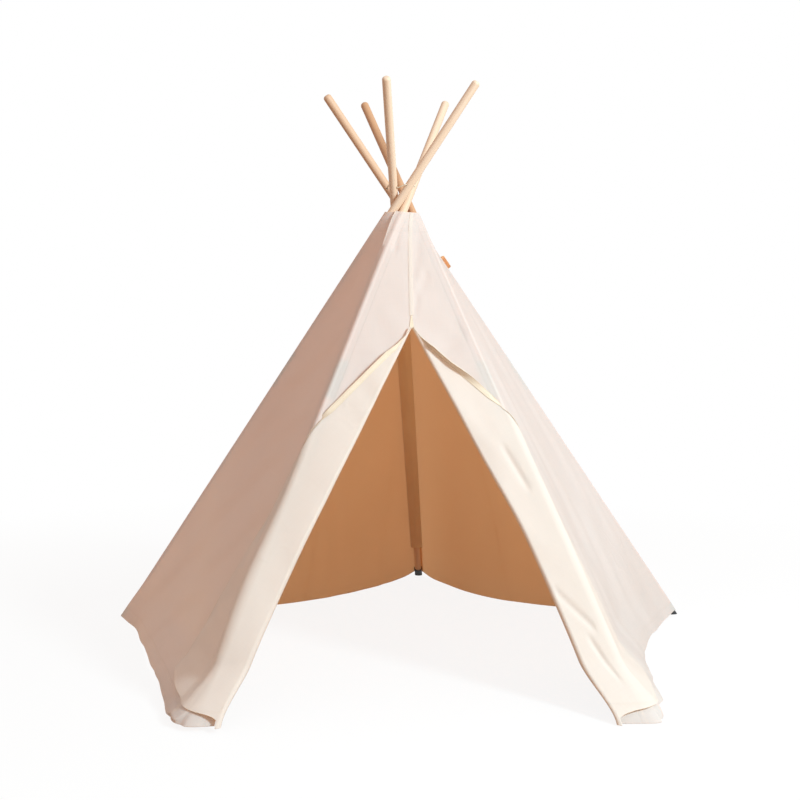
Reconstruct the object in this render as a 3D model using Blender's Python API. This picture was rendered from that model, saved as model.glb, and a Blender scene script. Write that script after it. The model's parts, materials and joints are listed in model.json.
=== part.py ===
"""Kids teepee: five lashed poles under a five-sided canvas cover with a split, folded-back door.

The poles stand on a ring of rubber feet and cross in a lashing. Each pole runs in a sleeve inside
the cover. The front of the cover is slit from the floor up, and both flaps are turned back round
the front poles. Every size is in metres, +Z is up, and the floor is at zero.
"""

import math
from dataclasses import dataclass

import bmesh
import bpy
from mathutils import Matrix, Vector

# Poles
POLE_REACH = 1.80
POLE_DIAMETER = 0.022
POLE_TIP_ROUNDING = 0.008
POLE_JOINT_HEIGHT = 0.88
POLE_SIDES = 20
TIP_STEPS = 4
FERRULE_LENGTH = 0.11
FERRULE_WALL = 0.0009
FIT_GAP = 0.0003

# Rubber feet
FOOT_WALL = 0.0009
FOOT_CUP_DEPTH = 0.022
FOOT_SOLE = 0.012
FOOT_BELOW = 0.012

# Stance: the ring that the feet stand on, and the small ring where the poles cross
FOOT_RING = 0.835
FOOT_RING_X = 0.0126
FOOT_RING_Y = -0.0264
LASH_HEIGHT = 1.172
LASH_RING = 0.024
LASH_RING_X = -0.0226
LASH_RING_Y = -0.0178

# Fold: how far the poles still lean when the tent is gathered in
FOLDED_LEAN = math.radians(5)
AXIS_MARK = 0.05

# Lashing cord, threaded through a drilled hole in each pole
CORD_DIAMETER = 0.003
CORD_HOLE = 0.0052
CORD_RISE = 0.046
CORD_STAND_OFF = 0.004
CORD_STEPS = 3
HOLE_SIDES = 12

# Canvas
CLOTH = 0.0016
SEAM_GAP = 0.0005
TOP_BELOW_LASH = 0.022
TOP_EDGE = LASH_HEIGHT - TOP_BELOW_LASH
HEM_HEIGHT = 0.016
BOW_FADE = 1.25
HANDLE_SHARE = 1 / 3
WRAP_STEPS = 4
SPAN_STEPS = 12

# Loose hem round the front poles, below their sleeves
FRONT_HEM_EASE = 0.048

# Sleeves
SLEEVE_BELOW_TOP = 0.105
SLEEVE_TOP = TOP_EDGE - SLEEVE_BELOW_TOP
SLEEVE_END = 0.11
SLEEVE_SEAM_REACH = 0.0165
SLEEVE_STEPS = 6

# Door
HEAD_DEPTH = 0.301
SLIT_TOP = TOP_EDGE - HEAD_DEPTH
FOLD_AT_HEM = 0.043
FLAP_START_SHARE = 0.025
WRAP_ROWS = 10
FOLD_LOOP_TOP = 0.012
FOLD_LOOP_HEM = 0.034
LOOP_STEPS = 6
STRIP_STEPS = 3
RIDGE_STEPS = 6
RIDGE_SPREAD = 0.026
FOLD_GAP = 0.0012
FLAP_OVER_RIDGE = 0.005
FLAP_EDGE_LIFT = 0.012
WRAP_START = 0.016
WRAP_FLAP_STEPS = 7
FLAP_CORNER_HEIGHT = 0.052
FLAP_CORNER_REACH = 0.283
LEFT_RIDGE_HEIGHT = 0.625
RIGHT_RIDGE_HEIGHT = 0.655
CONTOUR_STEP = 0.006
BINDING_WIDTH = 0.018
BINDING_THICKNESS = 0.0009
BINDING_GAP = 0.0006
BINDING_ROWS = 8
FRONT_STEPS = 7

# Rows of the cover, as shares of the way from the hem to the slit's top, and on to the top edge
DOOR_LEVEL_SHARES = (0, 0.04, 0.08, 0.12, 0.25, 0.4, 0.55, 0.7, 0.85, 1)
HEAD_LEVEL_SHARES = (0.3, 0.6, 0.8, 1)


@dataclass(frozen=True)
class Stand:
    """Where one pole stands and where it crosses the others, as bearings and shares of the rings."""

    name: str
    foot_bearing: float
    foot_share: float
    lash_bearing: float
    lash_share: float


# In order round the tent, clockwise seen from above
STANDS = (
    Stand("back", 86.0, 0.992, 177.4, 0.747),
    Stand("right", 19.7, 0.998, 99.3, 1.001),
    Stand("front_right", -54.3, 0.972, 33.3, 1.056),
    Stand("front_left", -124.5, 1.018, -46.6, 0.728),
    Stand("left", 163.1, 1.014, -113.8, 1.166),
)


class Pole:
    """The straight axis of one pole, from the floor to its tip."""

    def __init__(self, stand):
        """Places the axis from the stand's bearings."""
        self.name = stand.name
        foot_turn = math.radians(stand.foot_bearing)
        lash_turn = math.radians(stand.lash_bearing)
        foot_reach = FOOT_RING * stand.foot_share
        lash_reach = LASH_RING * stand.lash_share
        self.foot = Vector((
            FOOT_RING_X + foot_reach * math.cos(foot_turn),
            FOOT_RING_Y + foot_reach * math.sin(foot_turn),
            0,
        ))
        self.lash = Vector((
            LASH_RING_X + lash_reach * math.cos(lash_turn),
            LASH_RING_Y + lash_reach * math.sin(lash_turn),
            LASH_HEIGHT,
        ))
        self.axis = (self.lash - self.foot).normalized()

    def at(self, height):
        """The point on the axis at a height."""
        return self.foot + self.axis * (height / self.axis.z)

    def along(self, distance):
        """The point on the axis a distance up from the floor."""
        return self.foot + self.axis * distance

    def across(self, direction):
        """The unit part of a direction that is square to the axis."""
        return (direction - self.axis * direction.dot(self.axis)).normalized()

    def skin(self, height, radius, direction):
        """The point at a height on a cylinder of that radius about the axis."""
        out = direction * radius
        return self.at(height) + out - self.axis * (out.z / self.axis.z)

    def frame(self, distance):
        """A matrix with +Z up the axis and its origin a distance up the pole."""
        turn = Vector((0, 0, 1)).rotation_difference(self.axis).to_matrix().to_4x4()
        return Matrix.Translation(self.along(distance)) @ turn


POLES = tuple(Pole(stand) for stand in STANDS)
BACK, RIGHT, FRONT_RIGHT, FRONT_LEFT, LEFT = POLES
FRONT_POLES = (FRONT_RIGHT, FRONT_LEFT)

# Each pole turns on its neighbour in the lashing, and the back pole is held
FOLDS = ((RIGHT, BACK), (FRONT_RIGHT, RIGHT), (LEFT, BACK), (FRONT_LEFT, LEFT))

# The faces of the cover, each with its two poles, and the pole that carries it in a fold
FACES = {
    "back_right_panel": (BACK, RIGHT),
    "right_panel": (RIGHT, FRONT_RIGHT),
    "left_panel": (LEFT, FRONT_LEFT),
    "back_left_panel": (BACK, LEFT),
}

# How far each face of the cover bows inwards at the hem, as the angle at its two poles
BOWS = {
    (BACK, RIGHT): (31, 31),
    (RIGHT, FRONT_RIGHT): (17, 2),
    (FRONT_RIGHT, FRONT_LEFT): (2, 2),
    (FRONT_LEFT, LEFT): (2, 5),
    (LEFT, BACK): (27, 27),
}

POLE_RADIUS = POLE_DIAMETER / 2
FERRULE_RADIUS = POLE_RADIUS + FIT_GAP + FERRULE_WALL
COVER_RADIUS = FERRULE_RADIUS + FIT_GAP + CLOTH / 2
FOOT_RADIUS = POLE_RADIUS + FIT_GAP + FOOT_WALL


def material(name, colour, roughness, metallic=0.0):
    """A Principled material of one colour."""
    made = bpy.data.materials.new(name)
    made.use_nodes = True
    shader = made.node_tree.nodes["Principled BSDF"]
    shader.inputs["Base Color"].default_value = (*colour, 1.0)
    shader.inputs["Roughness"].default_value = roughness
    shader.inputs["Metallic"].default_value = metallic
    return made


def add_object(name, mesh, finish):
    """Links a new object that wears one material."""
    made = bpy.data.objects.new(name, mesh)
    mesh.materials.append(finish)
    bpy.context.scene.collection.objects.link(made)
    return made


def finish_mesh(bm, name):
    """Turns a bmesh into a smooth shaded mesh with sharp corners kept."""
    bmesh.ops.remove_doubles(bm, verts=bm.verts, dist=FIT_GAP / 10)
    bmesh.ops.recalc_face_normals(bm, faces=bm.faces)
    mesh = bpy.data.meshes.new(name)
    bm.to_mesh(mesh)
    bm.free()
    mesh.shade_smooth()
    mesh.set_sharp_from_angle(angle=math.radians(40))
    return mesh


def turned(name, profile, frame, finish, sides=POLE_SIDES, closed=False):
    """A solid turned about +Z from a list of (height, radius), placed by a frame."""
    bm = bmesh.new()
    points = [bm.verts.new((radius, 0, height)) for height, radius in profile]
    edges = [bm.edges.new(pair) for pair in zip(points, points[1:])]
    if closed:
        edges.append(bm.edges.new((points[-1], points[0])))
    bmesh.ops.spin(
        bm, geom=points + edges, cent=(0, 0, 0), axis=(0, 0, 1),
        angle=2 * math.pi, steps=sides, use_merge=True,
    )
    made = add_object(name, finish_mesh(bm, name), finish)
    made.matrix_world = frame
    return made


def cut(target, cutter):
    """Cuts one object out of another with an exact boolean."""
    cutter.hide_render = True
    cutter.display_type = "WIRE"
    modifier = target.modifiers.new("cut_" + cutter.name, "BOOLEAN")
    modifier.operation = "DIFFERENCE"
    modifier.solver = "EXACT"
    modifier.object = cutter


def guide(name, bm, frame):
    """A hidden cutter from a bmesh."""
    made = bpy.data.objects.new(name, finish_mesh(bm, name))
    bpy.context.scene.collection.objects.link(made)
    made.matrix_world = frame
    return made


def floor_cutter():
    """A flat block below the floor that trims the rubber feet level."""
    bm = bmesh.new()
    bmesh.ops.create_cube(bm, size=1)
    width = 2 * (FOOT_RING + LASH_HEIGHT)
    block = Matrix.Translation((0, 0, -POLE_DIAMETER))
    block = block @ Matrix.Diagonal((width, width, 2 * POLE_DIAMETER, 1))
    bm.transform(block)
    return guide("floor_cutter", bm, Matrix.Identity(4))


def build_poles(wood, steel, rubber):
    """Five two-part poles, each with a ferrule over the joint and a rubber foot."""
    floor = floor_cutter()
    for pole in POLES:
        tip = POLE_REACH - POLE_TIP_ROUNDING
        joint = POLE_JOINT_HEIGHT
        lower = [
            (FOOT_SOLE, 0),
            (FOOT_SOLE, POLE_RADIUS),
            (joint - FIT_GAP, POLE_RADIUS),
            (joint - FIT_GAP, 0),
        ]
        turned(pole.name + "_pole_lower", lower, pole.frame(0), wood)
        upper = [(joint, 0), (joint, POLE_RADIUS)]
        for step in range(TIP_STEPS + 1):
            turn = math.pi / 2 * step / TIP_STEPS
            inner = POLE_RADIUS - POLE_TIP_ROUNDING
            upper.append((
                tip + POLE_TIP_ROUNDING * math.sin(turn),
                inner + POLE_TIP_ROUNDING * math.cos(turn),
            ))
        upper.append((POLE_REACH, 0))
        shaft = turned(pole.name + "_pole_upper", upper, pole.frame(0), wood)
        cut(shaft, cord_drill(pole))
        half = FERRULE_LENGTH / 2
        bore = POLE_RADIUS + FIT_GAP
        sleeve = [
            (joint - half, bore),
            (joint + half, bore),
            (joint + half, FERRULE_RADIUS),
            (joint - half, FERRULE_RADIUS),
        ]
        turned(pole.name + "_pole_ferrule", sleeve, pole.frame(0), steel, closed=True)
        cup = FOOT_SOLE + FOOT_CUP_DEPTH
        foot = [
            (-FOOT_BELOW, 0),
            (-FOOT_BELOW, FOOT_RADIUS),
            (cup, FOOT_RADIUS),
            (cup, bore),
            (FOOT_SOLE - FIT_GAP, bore),
            (FOOT_SOLE - FIT_GAP, 0),
        ]
        cut(turned(pole.name + "_pole_foot", foot, pole.frame(0), rubber), floor)


def cord_place(pole):
    """Where the cord passes through a pole, and the direction of its drilled hole."""
    place = POLES.index(pole)
    height = LASH_HEIGHT + CORD_RISE
    before = POLES[place - 1].at(height)
    after = POLES[(place + 1) % len(POLES)].at(height)
    return pole.at(height), pole.across(after - before)


def cord_drill(pole):
    """The cutter for the cord's hole in a pole."""
    centre, direction = cord_place(pole)
    bm = bmesh.new()
    bmesh.ops.create_cone(
        bm, cap_ends=True, segments=HOLE_SIDES, radius1=CORD_HOLE / 2,
        radius2=CORD_HOLE / 2, depth=2 * POLE_DIAMETER,
    )
    turn = Vector((0, 0, 1)).rotation_difference(direction).to_matrix().to_4x4()
    return guide(pole.name + "_cord_drill", bm, Matrix.Translation(centre) @ turn)


def smooth_loop(points, steps):
    """A closed Catmull-Rom curve through the points."""
    count = len(points)
    made = []
    for place in range(count):
        a, b, c, d = (points[(place + shift) % count] for shift in (-1, 0, 1, 2))
        for step in range(steps):
            t = step / steps
            made.append(0.5 * (
                2 * b + (c - a) * t + (2 * a - 5 * b + 4 * c - d) * t ** 2
                + (3 * b - a - 3 * c + d) * t ** 3
            ))
    return made


def build_cord(finish):
    """One loop of cord, threaded straight through every pole."""
    route = []
    mouth = POLE_RADIUS + CORD_STAND_OFF
    for pole in POLES:
        centre, direction = cord_place(pole)
        for reach in (-mouth, -POLE_RADIUS, 0, POLE_RADIUS, mouth):
            route.append(centre + direction * reach)
    points = smooth_loop(route, CORD_STEPS)
    curve = bpy.data.curves.new("lashing_cord", "CURVE")
    curve.dimensions = "3D"
    curve.bevel_depth = CORD_DIAMETER / 2
    curve.bevel_resolution = 2
    spline = curve.splines.new("POLY")
    spline.points.add(len(points) - 1)
    for spot, point in zip(spline.points, points):
        spot.co = (*point, 1)
    spline.use_cyclic_u = True
    add_object("lashing_cord", curve, finish)


def middle(height):
    """The middle of the five pole axes at a height."""
    return sum((pole.at(height) for pole in POLES), Vector()) / len(POLES)


def face_normal(first, second, height):
    """The outward normal of the flat face between two poles at a height."""
    chord = second.at(height) - first.at(height)
    normal = (first.axis + second.axis).cross(chord).normalized()
    outward = (first.at(height) + second.at(height)) / 2 - middle(height)
    return normal if normal.dot(outward) > 0 else -normal


def neighbours(pole):
    """The poles before and after a pole round the tent."""
    place = POLES.index(pole)
    return POLES[place - 1], POLES[(place + 1) % len(POLES)]


def seam_direction(pole, height):
    """The direction from a pole's axis to the seam on its outer side."""
    before, after = neighbours(pole)
    one = pole.across(face_normal(before, pole, height))
    other = pole.across(face_normal(pole, after, height))
    return (one + other).normalized()


def bow_angle(pole, other, height):
    """How far a face turns inwards where it leaves a pole."""
    pair = (pole, other) if (pole, other) in BOWS else (other, pole)
    at_hem = BOWS[pair][0] if pair[0] is pole else BOWS[pair][1]
    fade = max(0, 1 - height / TOP_EDGE) ** BOW_FADE
    return math.radians(at_hem) * fade


def cover_radius(pole, height):
    """The radius of the canvas round a pole: loose round the front feet, tight above them."""
    if pole not in FRONT_POLES or height >= SLEEVE_END:
        return COVER_RADIUS
    share = 1 - height / SLEEVE_END
    return COVER_RADIUS + FRONT_HEM_EASE * share ** 2 * (3 - 2 * share)


def side_direction(pole, other, outward):
    """The direction square to a pole and to outward that points to the other pole."""
    side = pole.axis.cross(outward).normalized()
    towards = other.foot - pole.foot
    return side if side.dot(towards) > 0 else -side


def flank(pole, other, height):
    """The canvas from the seam on a pole to where the face leaves it.

    Returns the outward and side directions, the angle turned and the radius.
    """
    seam = seam_direction(pole, height)
    side = side_direction(pole, other, seam)
    normal = pole.across(face_normal(pole, other, height))
    turn = math.atan2(normal.dot(side), normal.dot(seam)) + bow_angle(pole, other, height)
    return seam, side, turn, cover_radius(pole, height)


def flank_point(pole, height, parts, angle):
    """A point of the canvas round a pole, an angle away from its seam."""
    seam, side, _, radius = parts
    return pole.skin(height, radius, seam * math.cos(angle) + side * math.sin(angle))


def flank_tangent(pole, parts, angle):
    """The level direction in which the canvas runs round a pole, away from its seam."""
    seam, side, _, _ = parts
    run = side * math.cos(angle) - seam * math.sin(angle)
    return (run - pole.axis * (run.z / pole.axis.z)).normalized()


def span(first, second, height):
    """The four control points of a face between two poles at a height."""
    one = flank(first, second, height)
    other = flank(second, first, height)
    start = flank_point(first, height, one, one[2])
    end = flank_point(second, height, other, other[2])
    handle = (end - start).length * HANDLE_SHARE
    return (
        start,
        start + flank_tangent(first, one, one[2]) * handle,
        end + flank_tangent(second, other, other[2]) * handle,
        end,
    )


def bezier(controls, t):
    """A point on a cubic curve."""
    a, b, c, d = controls
    s = 1 - t
    return a * s ** 3 + b * (3 * s * s * t) + c * (3 * s * t * t) + d * t ** 3


def wrap_angles(parts, skip):
    """The angles of the canvas round a pole, from its seam to where the face leaves it."""
    first = skip / parts[3]
    return [first + (parts[2] - first) * step / WRAP_STEPS for step in range(WRAP_STEPS + 1)]


def face_row(first, second, height):
    """The points of a whole face at a height, from seam to seam."""
    one = flank(first, second, height)
    other = flank(second, first, height)
    row = [flank_point(first, height, one, a) for a in wrap_angles(one, SEAM_GAP / 2)]
    controls = span(first, second, height)
    row += [bezier(controls, step / SPAN_STEPS) for step in range(1, SPAN_STEPS)]
    back = [flank_point(second, height, other, a) for a in wrap_angles(other, SEAM_GAP / 2)]
    return row + back[::-1]


def mix(start, end, share):
    """A value part of the way from start to end."""
    return start + (end - start) * share


def levels():
    """The heights of the cover's rows."""
    door = [mix(HEM_HEIGHT, SLIT_TOP, share) for share in DOOR_LEVEL_SHARES]
    return door + [mix(SLIT_TOP, TOP_EDGE, share) for share in HEAD_LEVEL_SHARES]


def cloth(name, rows, finish, thickness=CLOTH):
    """A sheet of cloth through a grid of points, given its thickness."""
    bm = bmesh.new()
    grid = [[bm.verts.new(point) for point in row] for row in rows]
    for low, high in zip(grid, grid[1:]):
        for place in range(len(low) - 1):
            bm.faces.new((low[place], low[place + 1], high[place + 1], high[place]))
    mesh = bpy.data.meshes.new(name)
    bm.to_mesh(mesh)
    bm.free()
    mesh.shade_smooth()
    made = add_object(name, mesh, finish)
    thick = made.modifiers.new("canvas_thickness", "SOLIDIFY")
    thick.thickness = thickness
    thick.offset = 0
    thick.use_even_offset = True
    return made


def build_sides(finish):
    """The four closed faces of the cover."""
    for name, (first, second) in FACES.items():
        cloth(name, [face_row(first, second, height) for height in levels()], finish)


def sleeve_side(pole, other, height):
    """The seam of a sleeve on one face, and the angle where the sleeve leaves the pole."""
    parts = flank(pole, other, height)
    seam, side, turn, _ = parts
    out = seam * math.cos(turn) + side * math.sin(turn)
    run = side * math.cos(turn) - seam * math.sin(turn)
    inset = COVER_RADIUS - CLOTH - 2 * FIT_GAP
    edge = out * inset + run * SLEEVE_SEAM_REACH
    bearing = math.atan2(edge.dot(side), edge.dot(seam))
    return edge, bearing + math.acos(COVER_RADIUS / edge.length)


def sleeve_row(pole, height):
    """The points of a sleeve at a height, from one face round the pole to the other."""
    before, after = neighbours(pole)
    first_edge, first_turn = sleeve_side(pole, before, height)
    last_edge, last_turn = sleeve_side(pole, after, height)
    seam = seam_direction(pole, height)
    side = side_direction(pole, after, seam)
    start = -first_turn
    sweep = 2 * math.pi - first_turn - last_turn
    offsets = [first_edge]
    for step in range(SLEEVE_STEPS + 1):
        angle = start - sweep * step / SLEEVE_STEPS
        offsets.append((seam * math.cos(angle) + side * math.sin(angle)) * COVER_RADIUS)
    offsets.append(last_edge)
    return [pole.skin(height, 1, offset) for offset in offsets]


def build_sleeves(finish):
    """The strip of canvas inside each pole that makes its sleeve."""
    heights = [height for height in levels() if SLEEVE_END < height < SLEEVE_TOP]
    for pole in POLES:
        rows = [sleeve_row(pole, height) for height in (SLEEVE_END, *heights, SLEEVE_TOP)]
        cloth(pole.name + "_sleeve", rows, finish)


@dataclass(frozen=True)
class Door:
    """One half of the door: the front pole it folds round, and the poles beside that one."""

    side: str
    pole: Pole
    across: Pole
    beside: Pole
    ridge_height: float


DOORS = (
    Door("left", FRONT_LEFT, FRONT_RIGHT, LEFT, LEFT_RIDGE_HEIGHT),
    Door("right", FRONT_RIGHT, FRONT_LEFT, RIGHT, RIGHT_RIDGE_HEIGHT),
)


class Contour:
    """The cover at one height, measured along the canvas from the seam on a front pole.

    Distances towards the door are negative, and those round the side are positive.
    """

    def __init__(self, door, height):
        """Samples the canvas on both sides of the seam."""
        self.pole = door.pole
        self.spots = []
        for other, sign in ((door.across, -1), (door.beside, 1)):
            walk = self.walk(door.pole, other, height)
            self.spots += [(sign * length, point) for length, point in walk]
        self.spots.sort(key=lambda spot: spot[0])

    @staticmethod
    def walk(pole, other, height):
        """Points from the seam along one face, with the length of canvas to each."""
        parts = flank(pole, other, height)
        angles = wrap_angles(parts, SEAM_GAP / 2)
        points = [flank_point(pole, height, parts, angle) for angle in angles]
        controls = span(pole, other, height)
        width = (controls[3] - controls[0]).length
        steps = max(WRAP_STEPS, round(width / CONTOUR_STEP))
        points += [bezier(controls, step / steps) for step in range(1, steps + 1)]
        length = SEAM_GAP / 2
        spots = [(length, points[0])]
        for last, point in zip(points, points[1:]):
            length += (point - last).length
            spots.append((length, point))
        return spots

    def point(self, distance, lift=0):
        """The point a distance from the seam, lifted off the canvas, with the run and normal."""
        place = 1
        while place < len(self.spots) - 1 and self.spots[place][0] < distance:
            place += 1
        (start, a), (end, b) = self.spots[place - 1], self.spots[place]
        spot = a.lerp(b, (distance - start) / (end - start))
        before = self.spots[max(0, place - 2)][1]
        after = self.spots[min(len(self.spots) - 1, place + 1)][1]
        run = (after - before).normalized()
        normal = self.pole.axis.cross(run).normalized()
        if normal.dot(spot - middle(spot.z)) < 0:
            normal = -normal
        return spot + normal * lift, run, normal


def half_front(door, height):
    """The way along the canvas from a front pole's seam to the middle of the front face."""
    spots = Contour.walk(door.pole, door.across, height)
    return (spots[WRAP_STEPS][0] + spots[-1][0]) / 2


def fold_loop(share):
    """How far the flap stands off the canvas at its fold, from the slit's top to the hem."""
    return mix(FOLD_LOOP_TOP, FOLD_LOOP_HEM, share)


def fold_place(door, share):
    """The distance and height of the fold's outer edge, from the slit's top to the hem."""
    top = half_front(door, SLIT_TOP)
    return -mix(top, FOLD_AT_HEM, share), mix(SLIT_TOP, HEM_HEIGHT, share)


def fold_root(door, share):
    """The distance and height where the canvas turns into the fold."""
    distance, height = fold_place(door, share)
    return distance + fold_loop(share) / 2, height


def edge_place(door, share):
    """The distance and height of the flap's free edge, from the slit's top to its corner."""
    height = mix(SLIT_TOP, FLAP_CORNER_HEIGHT, share)
    if height > door.ridge_height:
        part = (SLIT_TOP - height) / (SLIT_TOP - door.ridge_height)
        return mix(-half_front(door, SLIT_TOP), 0, part), height
    part = (door.ridge_height - height) / (door.ridge_height - FLAP_CORNER_HEIGHT)
    return mix(0, FLAP_CORNER_REACH, part), height


def flap_lift(door, distance, share):
    """How far the turned-back flap lies off the cover."""
    root = fold_root(door, share)[0]
    if distance < 0:
        return mix(fold_loop(share), FLAP_OVER_RIDGE, (distance - root) / -root)
    return mix(FLAP_OVER_RIDGE, FLAP_EDGE_LIFT, min(1, distance / FLAP_CORNER_REACH))


def flap_point(door, distance, height, share):
    """A point of the turned-back flap."""
    return Contour(door, height).point(distance, flap_lift(door, distance, share))[0]


def strip_shares(start):
    """How the points of the strip are spread, closer together over the pole."""
    ridge = max(-RIDGE_SPREAD, start / 2)
    end = WRAP_START - FOLD_GAP
    places = [mix(start, ridge, step / STRIP_STEPS) for step in range(1, STRIP_STEPS + 1)]
    places += [mix(ridge, end, step / RIDGE_STEPS) for step in range(1, RIDGE_STEPS + 1)]
    return [(place - start) / (end - start) for place in places]


def flap_row(door, share):
    """The fold's loop and the strip of flap in front of the pole."""
    distance, height = fold_root(door, share)
    spot, run, normal = Contour(door, height).point(distance)
    inwards = -run
    radius = fold_loop(share) / 2
    centre = spot + normal * radius
    row = []
    for step in range(LOOP_STEPS + 1):
        angle = math.pi * step / LOOP_STEPS
        row.append(centre - normal * radius * math.cos(angle) + inwards * radius * math.sin(angle))
    reach, edge_height = edge_place(door, share)
    end = min(reach, WRAP_START - FOLD_GAP)
    for to in strip_shares(distance):
        place = mix(distance, end, to)
        part = (place - distance) / (reach - distance)
        row.append(flap_point(door, place, mix(height, edge_height, part), share))
    return row


def wrap_row(door, share):
    """The part of the flap that lies round the pole on the side face."""
    distance, height = fold_root(door, share)
    reach, edge_height = edge_place(door, share)
    row = []
    for step in range(WRAP_FLAP_STEPS + 1):
        place = mix(WRAP_START, reach, step / WRAP_FLAP_STEPS)
        part = (place - distance) / (reach - distance)
        row.append(flap_point(door, place, mix(height, edge_height, part), share))
    return row


def edge_share(door, reach):
    """How far down the flap its free edge comes to a distance from the seam."""
    if reach < 0:
        part = 1 + reach / half_front(door, SLIT_TOP)
        height = mix(SLIT_TOP, door.ridge_height, part)
    else:
        height = mix(door.ridge_height, FLAP_CORNER_HEIGHT, reach / FLAP_CORNER_REACH)
    return (SLIT_TOP - height) / (SLIT_TOP - FLAP_CORNER_HEIGHT)


def flap_shares(door):
    """The rows of the flap, level with the cover's rows and closer as the edge rounds the pole."""
    shares = [1 - share for share in DOOR_LEVEL_SHARES[:-1]] + [FLAP_START_SHARE]
    shares += [edge_share(door, step * WRAP_START / 2) for step in (-3, -2, -1, 0, 1, 2)]
    return sorted(shares)


def wrap_shares(door):
    """The rows of the flap's outer part, from where it has come round the pole."""
    start = edge_share(door, 2 * WRAP_START)
    return [mix(start, 1, step / WRAP_ROWS) for step in range(WRAP_ROWS + 1)]


def front_row(door, height):
    """Half of the front face at a height, from the pole's seam to the door or middle seam."""
    contour = Contour(door, height)
    if height < SLIT_TOP:
        share = (SLIT_TOP - height) / (SLIT_TOP - HEM_HEIGHT)
        end = -fold_root(door, share)[0] - FOLD_GAP
    else:
        end = half_front(door, height) - SEAM_GAP / 2
    parts = flank(door.pole, door.across, height)
    wrap = min(parts[2] * parts[3], end / 2)
    places = [mix(SEAM_GAP / 2, wrap, step / WRAP_STEPS) for step in range(WRAP_STEPS)]
    places += [mix(wrap, end, step / FRONT_STEPS) for step in range(FRONT_STEPS + 1)]
    return [contour.point(-place)[0] for place in places]


def binding_row(door, share):
    """The tape along the flap's free edge, on the face that shows."""
    reach, height = edge_place(door, share)
    lift = CLOTH / 2 + BINDING_GAP + BINDING_THICKNESS / 2
    row = []
    for place in (reach - BINDING_WIDTH, reach):
        off = flap_lift(door, place, share) + lift
        row.append(Contour(door, height).point(place, off)[0])
    return row


def build_bindings(finish):
    """The tape sewn along each flap's free edge, in front of the pole and beside it."""
    for door in DOORS:
        start = 2 * FLAP_START_SHARE
        end = edge_share(door, -2 * WRAP_START)
        before = [mix(start, end, step / BINDING_ROWS) for step in range(BINDING_ROWS + 1)]
        after = wrap_shares(door)[1:]
        for ending, shares in (("", before), ("_wrap", after)):
            rows = [binding_row(door, share) for share in shares]
            cloth(door.side + "_door_binding" + ending, rows, finish, BINDING_THICKNESS)


def build_front(finish):
    """The two halves of the front face with their turned-back flaps."""
    flap_top = mix(SLIT_TOP, HEM_HEIGHT, FLAP_START_SHARE)
    for door in DOORS:
        rows = [front_row(door, height) for height in sorted((*levels(), flap_top))]
        cloth("front_" + door.side + "_panel", rows, finish)
        rows = [flap_row(door, share) for share in flap_shares(door)]
        cloth(door.side + "_door_flap", rows, finish)
        rows = [wrap_row(door, share) for share in wrap_shares(door)]
        cloth(door.side + "_door_flap_wrap", rows, finish)


def gathered(pole):
    """The motion that stands a pole almost upright about its place in the lashing."""
    level = Vector((pole.axis.x, pole.axis.y, 0)).normalized()
    turn = math.acos(pole.axis.z) - FOLDED_LEAN
    spin = Matrix.Rotation(turn, 4, level.cross(Vector((0, 0, 1))))
    return Matrix.Translation(pole.lash) @ spin @ Matrix.Translation(-pole.lash)


def fold_hinge(child, parent):
    """The point and direction about which a pole turns on its neighbour."""
    motion = gathered(parent).inverted() @ gathered(child)
    axis, angle = motion.to_quaternion().to_axis_angle()
    slide = motion.translation
    flat = slide - axis * slide.dot(axis)
    centre = (flat + axis.cross(flat) / math.tan(angle / 2)) / 2
    middle_lash = (child.lash + parent.lash) / 2
    return centre + axis * middle_lash.dot(axis), axis


def fold_centre(door, share):
    """The middle of the fold's loop, from the slit's top to the hem."""
    distance, height = fold_root(door, share)
    spot, _, normal = Contour(door, height).point(distance)
    return spot + normal * (fold_loop(share) / 2)


def door_hinge(door):
    """The straight line that a flap turns about, along its fold."""
    low_share = (SLIT_TOP - SLEEVE_END) / (SLIT_TOP - HEM_HEIGHT)
    low, high = fold_centre(door, low_share), fold_centre(door, FLAP_START_SHARE)
    return low, (high - low).normalized()


def cover_hinge(door):
    """The point below a front foot about which half the front face swings in to its pole."""
    top = half_front(door, SLIT_TOP)
    slant = (SLIT_TOP - HEM_HEIGHT) / door.pole.axis.z
    below = slant * FOLD_AT_HEM / (top - FOLD_AT_HEM)
    normal = face_normal(door.pole, door.across, SLIT_TOP)
    return door.pole.at(HEM_HEIGHT) - door.pole.axis * below, normal


def ridge_hinge(door):
    """The line along a front pole where its flap bends on to the side face."""
    height = door.ridge_height / 2
    seam = seam_direction(door.pole, height)
    return door.pole.skin(height, COVER_RADIUS + FLAP_OVER_RIDGE, seam), door.pole.axis.copy()


def hang(name, hinge, pieces):
    """An empty on a joint's axis that carries the pieces which turn there."""
    point, direction = hinge
    axis = bpy.data.objects.new(name, None)
    axis.empty_display_size = AXIS_MARK
    bpy.context.scene.collection.objects.link(axis)
    turn = Vector((0, 0, 1)).rotation_difference(direction).to_matrix().to_4x4()
    axis.matrix_world = Matrix.Translation(point) @ turn
    for piece in pieces:
        thing = bpy.data.objects[piece]
        thing.parent = axis
        thing.matrix_parent_inverse = axis.matrix_world.inverted()


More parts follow.
